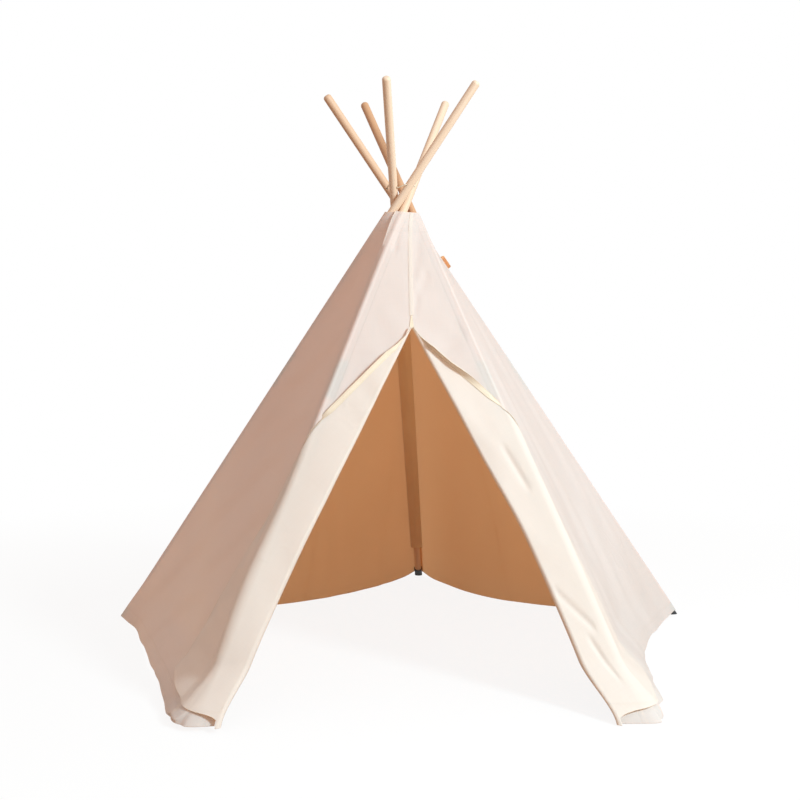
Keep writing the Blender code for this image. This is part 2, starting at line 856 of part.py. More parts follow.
def hang_pieces():
    """Hangs every moving piece on its joint's axis."""
    hard = ("pole_lower", "pole_upper", "pole_ferrule", "pole_foot", "sleeve")
    for child, parent in FOLDS:
        pieces = [f"{child.name}_{ending}" for ending in hard]
        pieces += [name for name, (carrier, _) in FACES.items() if carrier is child]
        hang(child.name + "_fold_axis", fold_hinge(child, parent), pieces)
    for door in DOORS:
        hang(f"front_{door.side}_cover_axis", cover_hinge(door), [f"front_{door.side}_panel"])
        pieces = [f"{door.side}_door_{ending}" for ending in ("flap", "binding")]
        hang(door.side + "_door_axis", door_hinge(door), pieces)
        pieces = [piece + "_wrap" for piece in pieces]
        hang(door.side + "_door_wrap_axis", ridge_hinge(door), pieces)


def clear_scene():
    """Empties the scene."""
    for thing in list(bpy.data.objects):
        bpy.data.objects.remove(thing, do_unlink=True)


def main():
    """Builds the teepee."""
    clear_scene()
    wood = material("pine", (0.83, 0.63, 0.40), 0.55)
    steel = material("ferrule_steel", (0.62, 0.63, 0.64), 0.3, 1.0)
    rubber = material("rubber", (0.02, 0.02, 0.02), 0.7)
    canvas = material("canvas", (0.86, 0.81, 0.74), 0.9)
    tape = material("binding_tape", (0.74, 0.60, 0.42), 0.85)
    cord = material("cord", (0.86, 0.80, 0.68), 0.85)
    build_poles(wood, steel, rubber)
    build_cord(cord)
    build_sides(canvas)
    build_sleeves(canvas)
    build_front(canvas)
    build_bindings(tape)
    hang_pieces()


main()
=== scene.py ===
"""Looks of a kids teepee: poles, lashing, cover and turned-back door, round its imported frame."""

import functools
import json
import logging
import math
from collections.abc import Callable
from dataclasses import dataclass, field
from enum import Enum

import bpy
import numpy as np
from mathutils import Matrix, Vector


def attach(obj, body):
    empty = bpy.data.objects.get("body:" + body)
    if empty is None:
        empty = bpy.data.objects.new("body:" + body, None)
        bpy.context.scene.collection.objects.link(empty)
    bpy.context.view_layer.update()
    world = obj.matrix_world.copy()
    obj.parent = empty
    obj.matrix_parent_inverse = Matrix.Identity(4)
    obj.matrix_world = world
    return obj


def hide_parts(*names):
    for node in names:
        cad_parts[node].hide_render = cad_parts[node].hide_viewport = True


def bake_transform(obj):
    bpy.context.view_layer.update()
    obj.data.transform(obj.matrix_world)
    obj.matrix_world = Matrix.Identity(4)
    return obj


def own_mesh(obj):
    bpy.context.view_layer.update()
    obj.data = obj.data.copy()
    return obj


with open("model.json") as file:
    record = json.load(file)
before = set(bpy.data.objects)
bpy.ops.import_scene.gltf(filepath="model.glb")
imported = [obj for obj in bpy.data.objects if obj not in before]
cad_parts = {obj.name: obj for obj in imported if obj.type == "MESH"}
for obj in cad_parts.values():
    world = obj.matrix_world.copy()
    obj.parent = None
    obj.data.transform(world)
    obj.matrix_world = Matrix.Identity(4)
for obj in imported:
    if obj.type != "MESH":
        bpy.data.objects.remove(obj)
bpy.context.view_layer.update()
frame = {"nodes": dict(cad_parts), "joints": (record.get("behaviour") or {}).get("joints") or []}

UP = Vector((0, 0, 1))

logging.basicConfig(level=logging.INFO, format="%(message)s")
log = logging.getLogger("teepee")

Socket = bpy.types.NodeSocket
Feed = Socket | float | tuple
Numbers = np.ndarray | float


class Slot(Enum):
    """The record's material slots."""

    PINE = "pine"
    RUBBER = "rubber"
    CANVAS = "canvas"
    CORD = "cord"
    TAPE = "binding_tape"


class Hold(Enum):
    """How a sheet of canvas is held."""

    STRETCHED = "stretched"
    FOLDED = "folded"


class Part(Enum):
    """The three parts of a turned-back flap, and of its tape."""

    STRIP = "strip"
    RIDGE = "ridge"
    WRAP = "wrap"


def mix(start: float, end: float, share: float) -> float:
    """A value part of the way from start to end."""
    return start + (end - start) * share


def ease(values: Numbers) -> Numbers:
    """Eased shares, clamped from 0 to 1."""
    share = np.clip(values, 0, 1)
    return share * share * (3 - 2 * share)


def smooth(value: float) -> float:
    """One eased share, clamped from 0 to 1."""
    return float(ease(value))


def srgb(red: int, green: int, blue: int) -> tuple[float, float, float, float]:
    """A display colour as the linear colour that a shader takes.

    Args:
        red, green, blue: The colour as shown, from 0 to 255.

    Returns:
        The linear colour with full alpha.
    """
    def linear(value: float) -> float:
        """One channel in linear light."""
        share = value / 255
        return share / 12.92 if share <= 0.04045 else ((share + 0.055) / 1.055) ** 2.4

    return (linear(red), linear(green), linear(blue), 1.0)


def unit_rows(vectors: np.ndarray) -> np.ndarray:
    """Each row of an array scaled to length 1."""
    return vectors / np.linalg.norm(vectors, axis=1, keepdims=True)


class Pole:
    """The straight axis of one pole, read from its packed lower length."""

    def __init__(self, name: str, lash_height: float) -> None:
        """Finds the axis as the long direction of the lower length.

        Args:
            name: The pole's place in the ring.
            lash_height: The height at which the poles cross.
        """
        self.name = name
        self.body = f"{name}_pole"
        mesh = frame["nodes"][f"{name}_pole_lower"].data
        points = np.unique(np.round([tuple(v.co) for v in mesh.vertices], 6), axis=0)
        centre = points.mean(axis=0)
        axis = Vector(np.linalg.svd(points - centre, full_matrices=False)[2][0])
        self.axis = axis if axis.z > 0 else -axis
        self.foot = Vector(centre) - self.axis * (centre[2] / self.axis.z)
        self.lash = self.at(lash_height)

    @property
    def lengths(self) -> tuple[str, str]:
        """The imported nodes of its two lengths."""
        return f"{self.body}_lower", f"{self.body}_upper"

    def at(self, height: float) -> Vector:
        """The point on the axis at a height."""
        return self.foot + self.axis * (height / self.axis.z)

    def along(self, distance: float) -> Vector:
        """The point on the axis a distance up from the floor."""
        return self.foot + self.axis * distance

    def across(self, direction: Vector) -> Vector:
        """The unit part of a direction that is square to the axis."""
        return (direction - self.axis * direction.dot(self.axis)).normalized()

    def skin(self, height: float, radius: float, direction: Vector) -> Vector:
        """The point at a height on a cylinder of that radius about the axis."""
        out = direction * radius
        return self.at(height) + out - self.axis * (out.z / self.axis.z)

    def frame(self, distance: float) -> Matrix:
        """A matrix with +Z up the axis and its origin a distance up the pole."""
        turn = UP.rotation_difference(self.axis).to_matrix().to_4x4()
        return Matrix.Translation(self.along(distance)) @ turn


@dataclass(frozen=True)
class Flank:
    """The canvas where it rounds a pole towards one neighbour."""

    seam: Vector
    side: Vector
    turn: float
    radius: float


@dataclass
class Cover:
    """The run of the canvas over the five poles, which every sewn piece follows."""

    order: tuple[str, ...] = ("back", "right", "front_right", "front_left", "left")
    fronts: tuple[str, ...] = ("front_right", "front_left")
    lash_height: float = 1.172
    top_edge: float = 1.150
    hem: float = 0.016
    slit_top: float = 0.849
    radius: float = 0.0133
    cloth: float = 0.0016
    hem_ease: float = 0.048
    ease_top: float = 0.11
    bow_fade: float = 1.25
    handle_share: float = 1 / 3
    bows: dict[tuple[str, str], float] = field(default_factory=lambda: {
        ("back", "right"): 31, ("right", "back"): 31, ("right", "front_right"): 17,
        ("front_right", "right"): 2, ("front_right", "front_left"): 2,
        ("front_left", "front_right"): 2, ("front_left", "left"): 2,
        ("left", "front_left"): 5, ("left", "back"): 27, ("back", "left"): 27,
    })

    def __post_init__(self) -> None:
        """Reads the poles from the frame."""
        self.poles = {name: Pole(name, self.lash_height) for name in self.order}

    def neighbours(self, pole: Pole) -> tuple[Pole, Pole]:
        """The poles before and after a pole round the tent."""
        place = self.order.index(pole.name)
        return tuple(self.poles[self.order[(place + step) % len(self.order)]] for step in (-1, 1))

    def middle(self, height: float) -> Vector:
        """The middle of the five pole axes at a height."""
        points = [pole.at(height) for pole in self.poles.values()]
        return sum(points, Vector()) / len(points)

    def face_normal(self, first: Pole, second: Pole, height: float) -> Vector:
        """The outward normal of the flat face between two poles at a height.

        Args:
            first, second: The poles.
            height: Where on the face.

        Returns:
            The unit normal.
        """
        chord = second.at(height) - first.at(height)
        normal = (first.axis + second.axis).cross(chord).normalized()
        outward = (first.at(height) + second.at(height)) / 2 - self.middle(height)
        return normal if normal.dot(outward) > 0 else -normal

    def seam_direction(self, pole: Pole, height: float) -> Vector:
        """The direction from a pole's axis to the seam on its outer side."""
        normals = [self.face_normal(pole, near, height) for near in self.neighbours(pole)]
        return sum((pole.across(normal) for normal in normals), Vector()).normalized()

    def bow_angle(self, pole: Pole, other: Pole, height: float) -> float:
        """How far a face turns inwards where it leaves a pole."""
        at_hem = self.bows[pole.name, other.name]
        return math.radians(at_hem) * max(0, 1 - height / self.top_edge) ** self.bow_fade

    def cover_radius(self, pole: Pole, height: float) -> float:
        """The radius of the canvas round a pole: loose round the front feet, tight above."""
        loose = self.hem_ease if pole.name in self.fronts else 0.0
        return self.radius + loose * smooth(1 - height / self.ease_top)

    def flank(self, pole: Pole, other: Pole, height: float) -> Flank:
        """How the canvas rounds a pole towards a neighbour at a height.

        Args:
            pole: The pole.
            other: The neighbour.
            height: Where on the pole.

        Returns:
            The directions, the turn and the radius.
        """
        seam = self.seam_direction(pole, height)
        side = pole.axis.cross(seam).normalized()
        if side.dot(other.foot - pole.foot) < 0:
            side = -side
        normal = pole.across(self.face_normal(pole, other, height))
        turn = math.atan2(normal.dot(side), normal.dot(seam))
        turn += self.bow_angle(pole, other, height)
        return Flank(seam, side, turn, self.cover_radius(pole, height))

    def flank_point(self, pole: Pole, height: float, parts: Flank, angle: float) -> Vector:
        """A point of the canvas round a pole, an angle away from its seam."""
        out = parts.seam * math.cos(angle) + parts.side * math.sin(angle)
        return pole.skin(height, parts.radius, out)

    def span(self, first: Pole, second: Pole, height: float) -> tuple[Vector, ...]:
        """The four control points of a face between two poles at a height.

        Args:
            first, second: The poles.
            height: Where on the face.

        Returns:
            The ends of a cubic curve, with its handles between them.
        """
        ends, runs = [], []
        for pole, other in ((first, second), (second, first)):
            parts = self.flank(pole, other, height)
            ends.append(self.flank_point(pole, height, parts, parts.turn))
            run = parts.side * math.cos(parts.turn) - parts.seam * math.sin(parts.turn)
            runs.append((run - pole.axis * (run.z / pole.axis.z)).normalized())
        handle = (ends[1] - ends[0]).length * self.handle_share
        return ends[0], ends[0] + runs[0] * handle, ends[1] + runs[1] * handle, ends[1]


class Contour:
    """The canvas at one height, from the middle of one face round a pole to the next middle.

    Distances run along the canvas from the seam on the pole. They are negative towards the
    first neighbour and positive towards the second.
    """

    arc_steps = 16
    span_steps = 120

    def __init__(
            self, cover: Cover, pole: Pole, first: Pole, second: Pole, height: float) -> None:
        """Samples the canvas on both sides of the seam.

        Args:
            cover: The run of the canvas.
            pole: The pole that it rounds.
            first, second: Its neighbours, on the negative and the positive side.
            height: Where the contour lies.
        """
        branches = [self.branch(cover, pole, other, height) for other in (first, second)]
        self.tangents = (-branches[0][2], branches[1][2])
        self.middles = (-branches[0][1][-1], branches[1][1][-1])
        points = np.concatenate([branches[0][0][:0:-1], branches[1][0]])
        self.lengths = np.concatenate([-branches[0][1][:0:-1], branches[1][1]])
        runs = np.gradient(points, self.lengths, axis=0)
        normals = unit_rows(np.cross(np.array(pole.axis), runs))
        outward = points - np.array(cover.middle(height))
        if (normals * outward).sum() < 0:
            normals = -normals
        self.points, self.normals = points, normals

    def branch(self, cover: Cover, pole: Pole, other: Pole, height: float) -> tuple:
        """Points from the seam to the middle of one face, their lengths, and the tangent's.

        Args:
            cover: The run of the canvas.
            pole: The pole that it rounds.
            other: The neighbour.
            height: Where the contour lies.

        Returns:
            The points, their distances, and the distance at the tangent.
        """
        parts = cover.flank(pole, other, height)
        arc = [
            cover.flank_point(pole, height, parts, parts.turn * step / self.arc_steps)
            for step in range(self.arc_steps + 1)
        ]
        t = np.linspace(0, 0.5, self.span_steps // 2 + 1)[1:, None]
        a, b, c, d = (np.array(point) for point in cover.span(pole, other, height))
        face = a * (1 - t) ** 3 + b * 3 * t * (1 - t) ** 2 + c * 3 * t * t * (1 - t) + d * t ** 3
        points = np.concatenate([np.array(arc), face])
        steps = np.linalg.norm(np.diff(points, axis=0), axis=1)
        lengths = np.concatenate([[0.0], np.cumsum(steps)])
        return points, lengths, lengths[self.arc_steps]


class Bench:
    """Small jobs of modelling that every piece shares."""

    @staticmethod
    def clear() -> None:
        """Leaves nothing selected."""
        bpy.ops.object.select_all(action="DESELECT")

    @staticmethod
    def only(obj: bpy.types.Object) -> None:
        """Makes one object the selected and active one.

        Args:
            obj: The object.
        """
        Bench.clear()
        obj.select_set(True)
        bpy.context.view_layer.objects.active = obj

    @staticmethod
    def apply_all(obj: bpy.types.Object) -> None:
        """Applies an object's modifiers in order.

        Args:
            obj: The object.
        """
        Bench.only(obj)
        for modifier in list(obj.modifiers):
            bpy.ops.object.modifier_apply(modifier=modifier.name)

    @staticmethod
    def pick(obj: bpy.types.Object, kind: str, test: Callable[..., bool]) -> None:
        """Goes into edit mode with only the edges or faces selected that pass a test.

        Args:
            obj: The object.
            kind: EDGE or FACE.
            test: Whether one is selected.
        """
        bpy.ops.object.mode_set(mode="EDIT")
        bpy.ops.mesh.select_all(action="DESELECT")
        bpy.ops.object.mode_set(mode="OBJECT")
        for part in {"EDGE": obj.data.edges, "FACE": obj.data.polygons}[kind]:
            part.select = test(part)
        bpy.ops.object.mode_set(mode="EDIT")
        bpy.ops.mesh.select_mode(type=kind)

    @staticmethod
    def close() -> None:
        """Turns every face outwards, and leaves edit mode."""
        bpy.ops.mesh.select_all(action="SELECT")
        bpy.ops.mesh.normals_make_consistent(inside=False)
        bpy.ops.object.mode_set(mode="OBJECT")

    @staticmethod
    def dress(
            obj: bpy.types.Object, finish: bpy.types.Material, pole: Pole, node: str, slot: Slot,
    ) -> None:
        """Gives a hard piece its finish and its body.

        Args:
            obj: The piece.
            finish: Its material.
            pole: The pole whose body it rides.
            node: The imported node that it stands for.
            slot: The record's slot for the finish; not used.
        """
        obj.data.materials.clear()
        obj.data.materials.append(finish)
        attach(obj, pole.body)
        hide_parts(node)
        log.info("%s: %d vertices", obj.name, len(obj.data.vertices))

    @staticmethod
    def settle(obj: bpy.types.Object, matrix: Matrix) -> None:
        """Moves a piece's mesh into place and leaves its object at the origin."""
        obj.data.transform(matrix @ obj.matrix_world)
        obj.matrix_world = Matrix.Identity(4)

    @staticmethod
    def store(obj: bpy.types.Object, name: str, values: np.ndarray) -> None:
        """Keeps a vector for every vertex, for a material to read."""
        made = obj.data.attributes.new(name, "FLOAT_VECTOR", "POINT")
        made.data.foreach_set("vector", values.astype(np.float32).ravel())

    @staticmethod
    def coordinates(obj: bpy.types.Object) -> np.ndarray:
        """The vertices of a mesh as rows."""
        return np.array([tuple(vertex.co) for vertex in obj.data.vertices])

    @staticmethod
    def sheet(name: str, grid: np.ndarray, sewing: np.ndarray) -> bpy.types.Object:
        """A sheet whose grid of vertices is laid on rows of points.

        Args:
            name: The piece's name.
            grid: Rows of points from the hem upwards.
            sewing: Where each point lies from the pole's seam and its height.

        Returns:
            The new object, with its faces outwards and a map of the cloth in metres.
        """
        high, wide = grid.shape[:2]
        Bench.clear()
        bpy.ops.mesh.primitive_grid_add(x_subdivisions=wide - 1, y_subdivisions=high - 1, size=1)
        obj = bpy.context.object
        obj.name = obj.data.name = name
        obj.data.vertices.foreach_set("co", grid.ravel())
        obj.data.update()
        cloth = obj.data.uv_layers.active
        cloth.name = "cloth"
        corners = np.empty(len(obj.data.loops), dtype=np.int32)
        obj.data.loops.foreach_get("vertex_index", corners)
        centre = grid.mean(axis=(0, 1))
        right = grid[0, -1] - grid[0, 0]
        right /= np.linalg.norm(right)
        climb = grid[-1].mean(axis=0) - grid[0].mean(axis=0)
        climb -= right * climb.dot(right)
        climb /= np.linalg.norm(climb)
        flat = (grid.reshape(-1, 3) - centre) @ np.stack([right, climb], axis=1)
        cloth.data.foreach_set("uv", flat[corners].astype(np.float32).ravel())
        marks = obj.data.uv_layers.new(name="sewing")
        marks.data.foreach_set("uv", sewing.reshape(-1, 2)[corners].astype(np.float32).ravel())
        return obj

    @staticmethod
    def flat_size(grid: np.ndarray) -> tuple[float, float, float]:
        """The width, length and area that a sheet was cut to, along its rows and columns.

        Args:
            grid: The sheet's rows of points.

        Returns:
            The three, in metres and square metres.
        """
        across = np.linalg.norm(np.diff(grid, axis=1), axis=2)
        up = np.linalg.norm(np.diff(grid, axis=0), axis=2)
        one = np.cross(grid[1:, :-1] - grid[:-1, :-1], grid[:-1, 1:] - grid[:-1, :-1])
        other = np.cross(grid[1:, :-1] - grid[1:, 1:], grid[:-1, 1:] - grid[1:, 1:])
        area = (np.linalg.norm(one, axis=2) + np.linalg.norm(other, axis=2)).sum() / 2
        return across.sum(axis=1).max(), up.sum(axis=0).max(), area


class CanvasMap:
    """The whole canvas round one pole, ready to place points by distance and height."""

    floor_gap = 0.002
    step = 0.006

    def __init__(self, cover: Cover, pole: Pole, first: Pole, second: Pole) -> None:
        """Stacks the contours of many heights.

        Args:
            cover: The run of the canvas over the poles.
            pole: The pole that the canvas rounds.
            first, second: Its neighbours, on the negative and the positive side.
        """
        self.cover, self.pole = cover, pole
        self.first, self.second = first, second
        count = math.ceil((cover.top_edge - self.floor_gap) / self.step) + 1
        self.heights = np.linspace(self.floor_gap, cover.top_edge, count)
        rows = [Contour(cover, pole, first, second, height) for height in self.heights]
        self.lengths = np.stack([row.lengths for row in rows])
        self.points = np.stack([row.points for row in rows])
        self.normals = np.stack([row.normals for row in rows])
        self.tangents = np.array([row.tangents for row in rows])
        self.middles = np.array([row.middles for row in rows])

    def reach(self, table: np.ndarray, side: int, heights: Numbers) -> Numbers:
        """A tangent's or middle's distance at a height or heights, on side 0 or 1."""
        return np.interp(heights, self.heights, table[:, side])

    def span(self, side: int, heights: Numbers) -> tuple[Numbers, Numbers]:
        """The distances of one side's tangent and middle."""
        return tuple(self.reach(table, side, heights) for table in (self.tangents, self.middles))

    def lay(self, heights: Numbers, distances: np.ndarray, lifts: Numbers) -> np.ndarray:
        """Points by height, distance from the seam and lift off the canvas.

        Args:
            heights, distances, lifts: One value for each point, or one for all.

        Returns:
            One row per point.
        """
        heights, distances, lifts = np.broadcast_arrays(heights, distances, lifts)
        made = np.empty((len(distances), 3))
        for height in np.unique(heights):
            pick = heights == height
            place = np.interp(height, self.heights, np.arange(len(self.heights)))
            low = min(int(place), len(self.heights) - 2)
            part = place - low
            lengths = mix(self.lengths[low], self.lengths[low + 1], part)
            points = mix(self.points[low], self.points[low + 1], part)
            normals = mix(self.normals[low], self.normals[low + 1], part)
            where = distances[pick]
            spot = np.stack([np.interp(where, lengths, points[:, i]) for i in range(3)], axis=1)
            out = np.stack([np.interp(where, lengths, normals[:, i]) for i in range(3)], axis=1)
            made[pick] = spot + unit_rows(out) * lifts[pick][:, None]
        return made


@dataclass(frozen=True)
class Crease:
    """A soft ridge or valley pressed into the canvas, from one place to another."""

    start: tuple[float, float]
    end: tuple[float, float]
    width: float
    depth: float

    def lift(self, distances: np.ndarray, heights: np.ndarray) -> np.ndarray:
        """How far the crease moves each point off the canvas.

        Args:
            distances, heights: Where the points lie on the canvas.

        Returns:
            One lift for each point.
        """
        start, end = np.array(self.start), np.array(self.end)
        run = end - start
        offset = np.stack([distances - start[0], heights - start[1]], axis=-1)
        share = np.clip((offset @ run) / (run @ run), 0, 1)
        away = np.linalg.norm(offset - share[..., None] * run, axis=-1)
        return self.depth * np.exp(-(away / self.width) ** 2)


@dataclass
class Drape:
    """Where the canvas sags, puckers and stands off its poles."""

    creases: dict[str, tuple[Crease, ...]] = field(default_factory=lambda: {
        "front_right": (
            Crease((-0.026, 1.088), (-0.084, 0.972), 0.012, -0.0022),
            Crease((-0.049, 0.984), (-0.103, 0.924), 0.009, -0.0024),
            Crease((-0.066, 0.990), (-0.090, 0.950), 0.012, 0.0018),
            Crease((-0.102, 0.920), (-0.120, 0.888), 0.007, -0.0016),
            Crease((-0.030, 0.844), (-0.092, 0.780), 0.022, -0.0030),
            Crease((-0.020, 0.685), (-0.013, 0.660), 0.005, -0.0016),
            Crease((-0.046, 0.553), (-0.033, 0.475), 0.009, -0.0036),
            Crease((-0.070, 0.240), (-0.024, 0.175), 0.008, -0.0040),
            Crease((-0.041, 0.145), (-0.023, 0.078), 0.007, -0.0034),
        ),
        "front_left": (
            Crease((-0.014, 1.096), (-0.026, 1.048), 0.008, -0.0028),
            Crease((-0.018, 1.060), (-0.060, 1.090), 0.012, -0.0016),
        ),
    })
    sways: dict[frozenset, float] = field(default_factory=lambda: {
        frozenset(("back", "right")): -0.062,
        frozenset(("left", "back")): -0.026,
        frozenset(("right", "front_right")): -0.034,
        frozenset(("front_left", "left")): 0.005,
    })
    powers: dict[tuple[str, str], float] = field(default_factory=lambda: {
        ("right", "front_right"): 4.0, ("front_right", "right"): 1.0, ("front_left", "left"): 1.0,
    })
    power: float = 2.0
    sway_top: float = 0.85
    free_reach: float = 0.12
    crease_fade: float = 0.012
    slack: float = 0.0035
    ripple: float = 0.0012
    slack_size: float = 0.42
    ripple_size: float = 0.13
    runs: tuple[tuple[float, ...], ...] = ((1.0, 0.8, 0.55), (-0.6, 1.0, 0.3), (0.9, 0.7, 0.25))
    shift: float = 1.3
    bend: float = 2.5

    def waves(self, points: np.ndarray) -> np.ndarray:
        """Gentle unevenness that depends only on the place in space.

        Args:
            points: Rows of points.

        Returns:
            One lift for each point.
        """
        sizes = (self.slack_size, self.slack_size, self.ripple_size)
        phase, cross, fine = (
            points @ (2 * math.pi / size * np.array(run)) for size, run in zip(sizes, self.runs))
        broad = np.sin(phase) * np.cos(cross + self.shift)
        return self.slack * broad + self.ripple * np.sin(fine + self.bend * broad)

    def lift(self, canvas: CanvasMap, heights: np.ndarray, distances: np.ndarray) -> np.ndarray:
        """How far the slack canvas lies off its plain run, and nothing at the poles.

        Args:
            canvas: The canvas round one pole.
            heights, distances: Where the points lie on it.

        Returns:
            One lift for each point.
        """
        spans = [canvas.span(side, heights) for side in (0, 1)]
        beyond = np.maximum(spans[0][0] - distances, distances - spans[1][0])
        made = self.waves(canvas.lay(heights, distances, 0)) * ease(beyond / self.free_reach)
        near = np.clip(beyond / self.crease_fade, 0, 1)
        low = np.clip(1 - heights / self.sway_top, 0, 1) ** 1.5
        for other, (start, middle) in zip((canvas.first, canvas.second), spans):
            depth = self.sways.get(frozenset((canvas.pole.name, other.name)), 0.0)
            power = self.powers.get((canvas.pole.name, other.name), self.power)
            share = (distances - start) / (middle - start)
            made += depth * low * np.sin(math.pi / 2 * np.clip(share, 0, 1)) ** power
        for crease in self.creases.get(canvas.pole.name, ()):
            made += crease.lift(distances, heights) * near
        return made


class Tree:
    """Shorthand for wiring shader nodes."""

    def __init__(self, tree: bpy.types.NodeTree) -> None:
        """Keeps the tree that is wired."""
        self.tree = tree

    def feed(self, socket: Socket, value: Feed) -> None:
        """Sets a socket to a value, or links it to an output.

        Args:
            socket: The input.
            value: A number or colour, or the output to link.
        """
        if isinstance(value, Socket):
            self.tree.links.new(value, socket)
        else:
            socket.default_value = value

    def add(self, kind: str, feeds: dict[str | int, Feed] | None = None, **settings: object
            ) -> bpy.types.Node:
        """A new node.

        Args:
            kind: Its type, without the word ShaderNode.
            feeds: What each input is set or linked to.
            settings: Its other settings.

        Returns:
            The node.
        """
        node = self.tree.nodes.new("ShaderNode" + kind)
        for name, value in settings.items():
            setattr(node, name, value)
        for name, value in (feeds or {}).items():
            self.feed(node.inputs[name], value)
        return node

    def maths(self, operation: str, *values: Feed, clamp: bool = False) -> Socket:
        """The result of one arithmetic step."""
        feeds = dict(enumerate(values))
        return self.add("Math", feeds, operation=operation, use_clamp=clamp).outputs[0]

    def blend(self, share: Feed, low: Feed, high: Feed) -> Socket:
        """A colour mixed from two."""
        return self.add("Mix", {0: share, 6: low, 7: high}, data_type="RGBA").outputs[2]

    def spread(
            self, value: Feed, low: float, high: float, to_low: float = 0.0, to_high: float = 1.0,
    ) -> Socket:
        """A value carried from one range to another and kept there."""
        feeds = dict(enumerate((value, low, high, to_low, to_high)))
        return self.add("MapRange", feeds, clamp=True).outputs[0]

    def noise(self, vector: Feed, scale: float, detail: float = 2.0, rough: float = 0.5) -> Socket:
        """Smooth noise at a scale."""
        feeds = {"Vector": vector, "Scale": scale, "Detail": detail, "Roughness": rough}
        return self.add("TexNoise", feeds).outputs["Fac"]

    def stretched(self, vector: Feed, scale: tuple[float, float, float]) -> Socket:
        """Coordinates scaled by axis."""
        return self.add("Mapping", {"Vector": vector, "Scale": scale}).outputs[0]

    def parts(self, vector: Feed) -> bpy.types.NodeOutputs:
        """The three numbers of a vector."""
        return self.add("SeparateXYZ", {0: vector}).outputs

    def group(self, group: bpy.types.NodeTree, **inputs: Feed) -> bpy.types.NodeOutputs:
        """The outputs of a shared effect with its own inputs."""
        return self.add("Group", inputs, node_tree=group).outputs

    def best(self, operation: str, values: list[Socket]) -> Socket:
        """The largest or the smallest of several values."""
        return functools.reduce(lambda one, other: self.maths(operation, one, other), values)


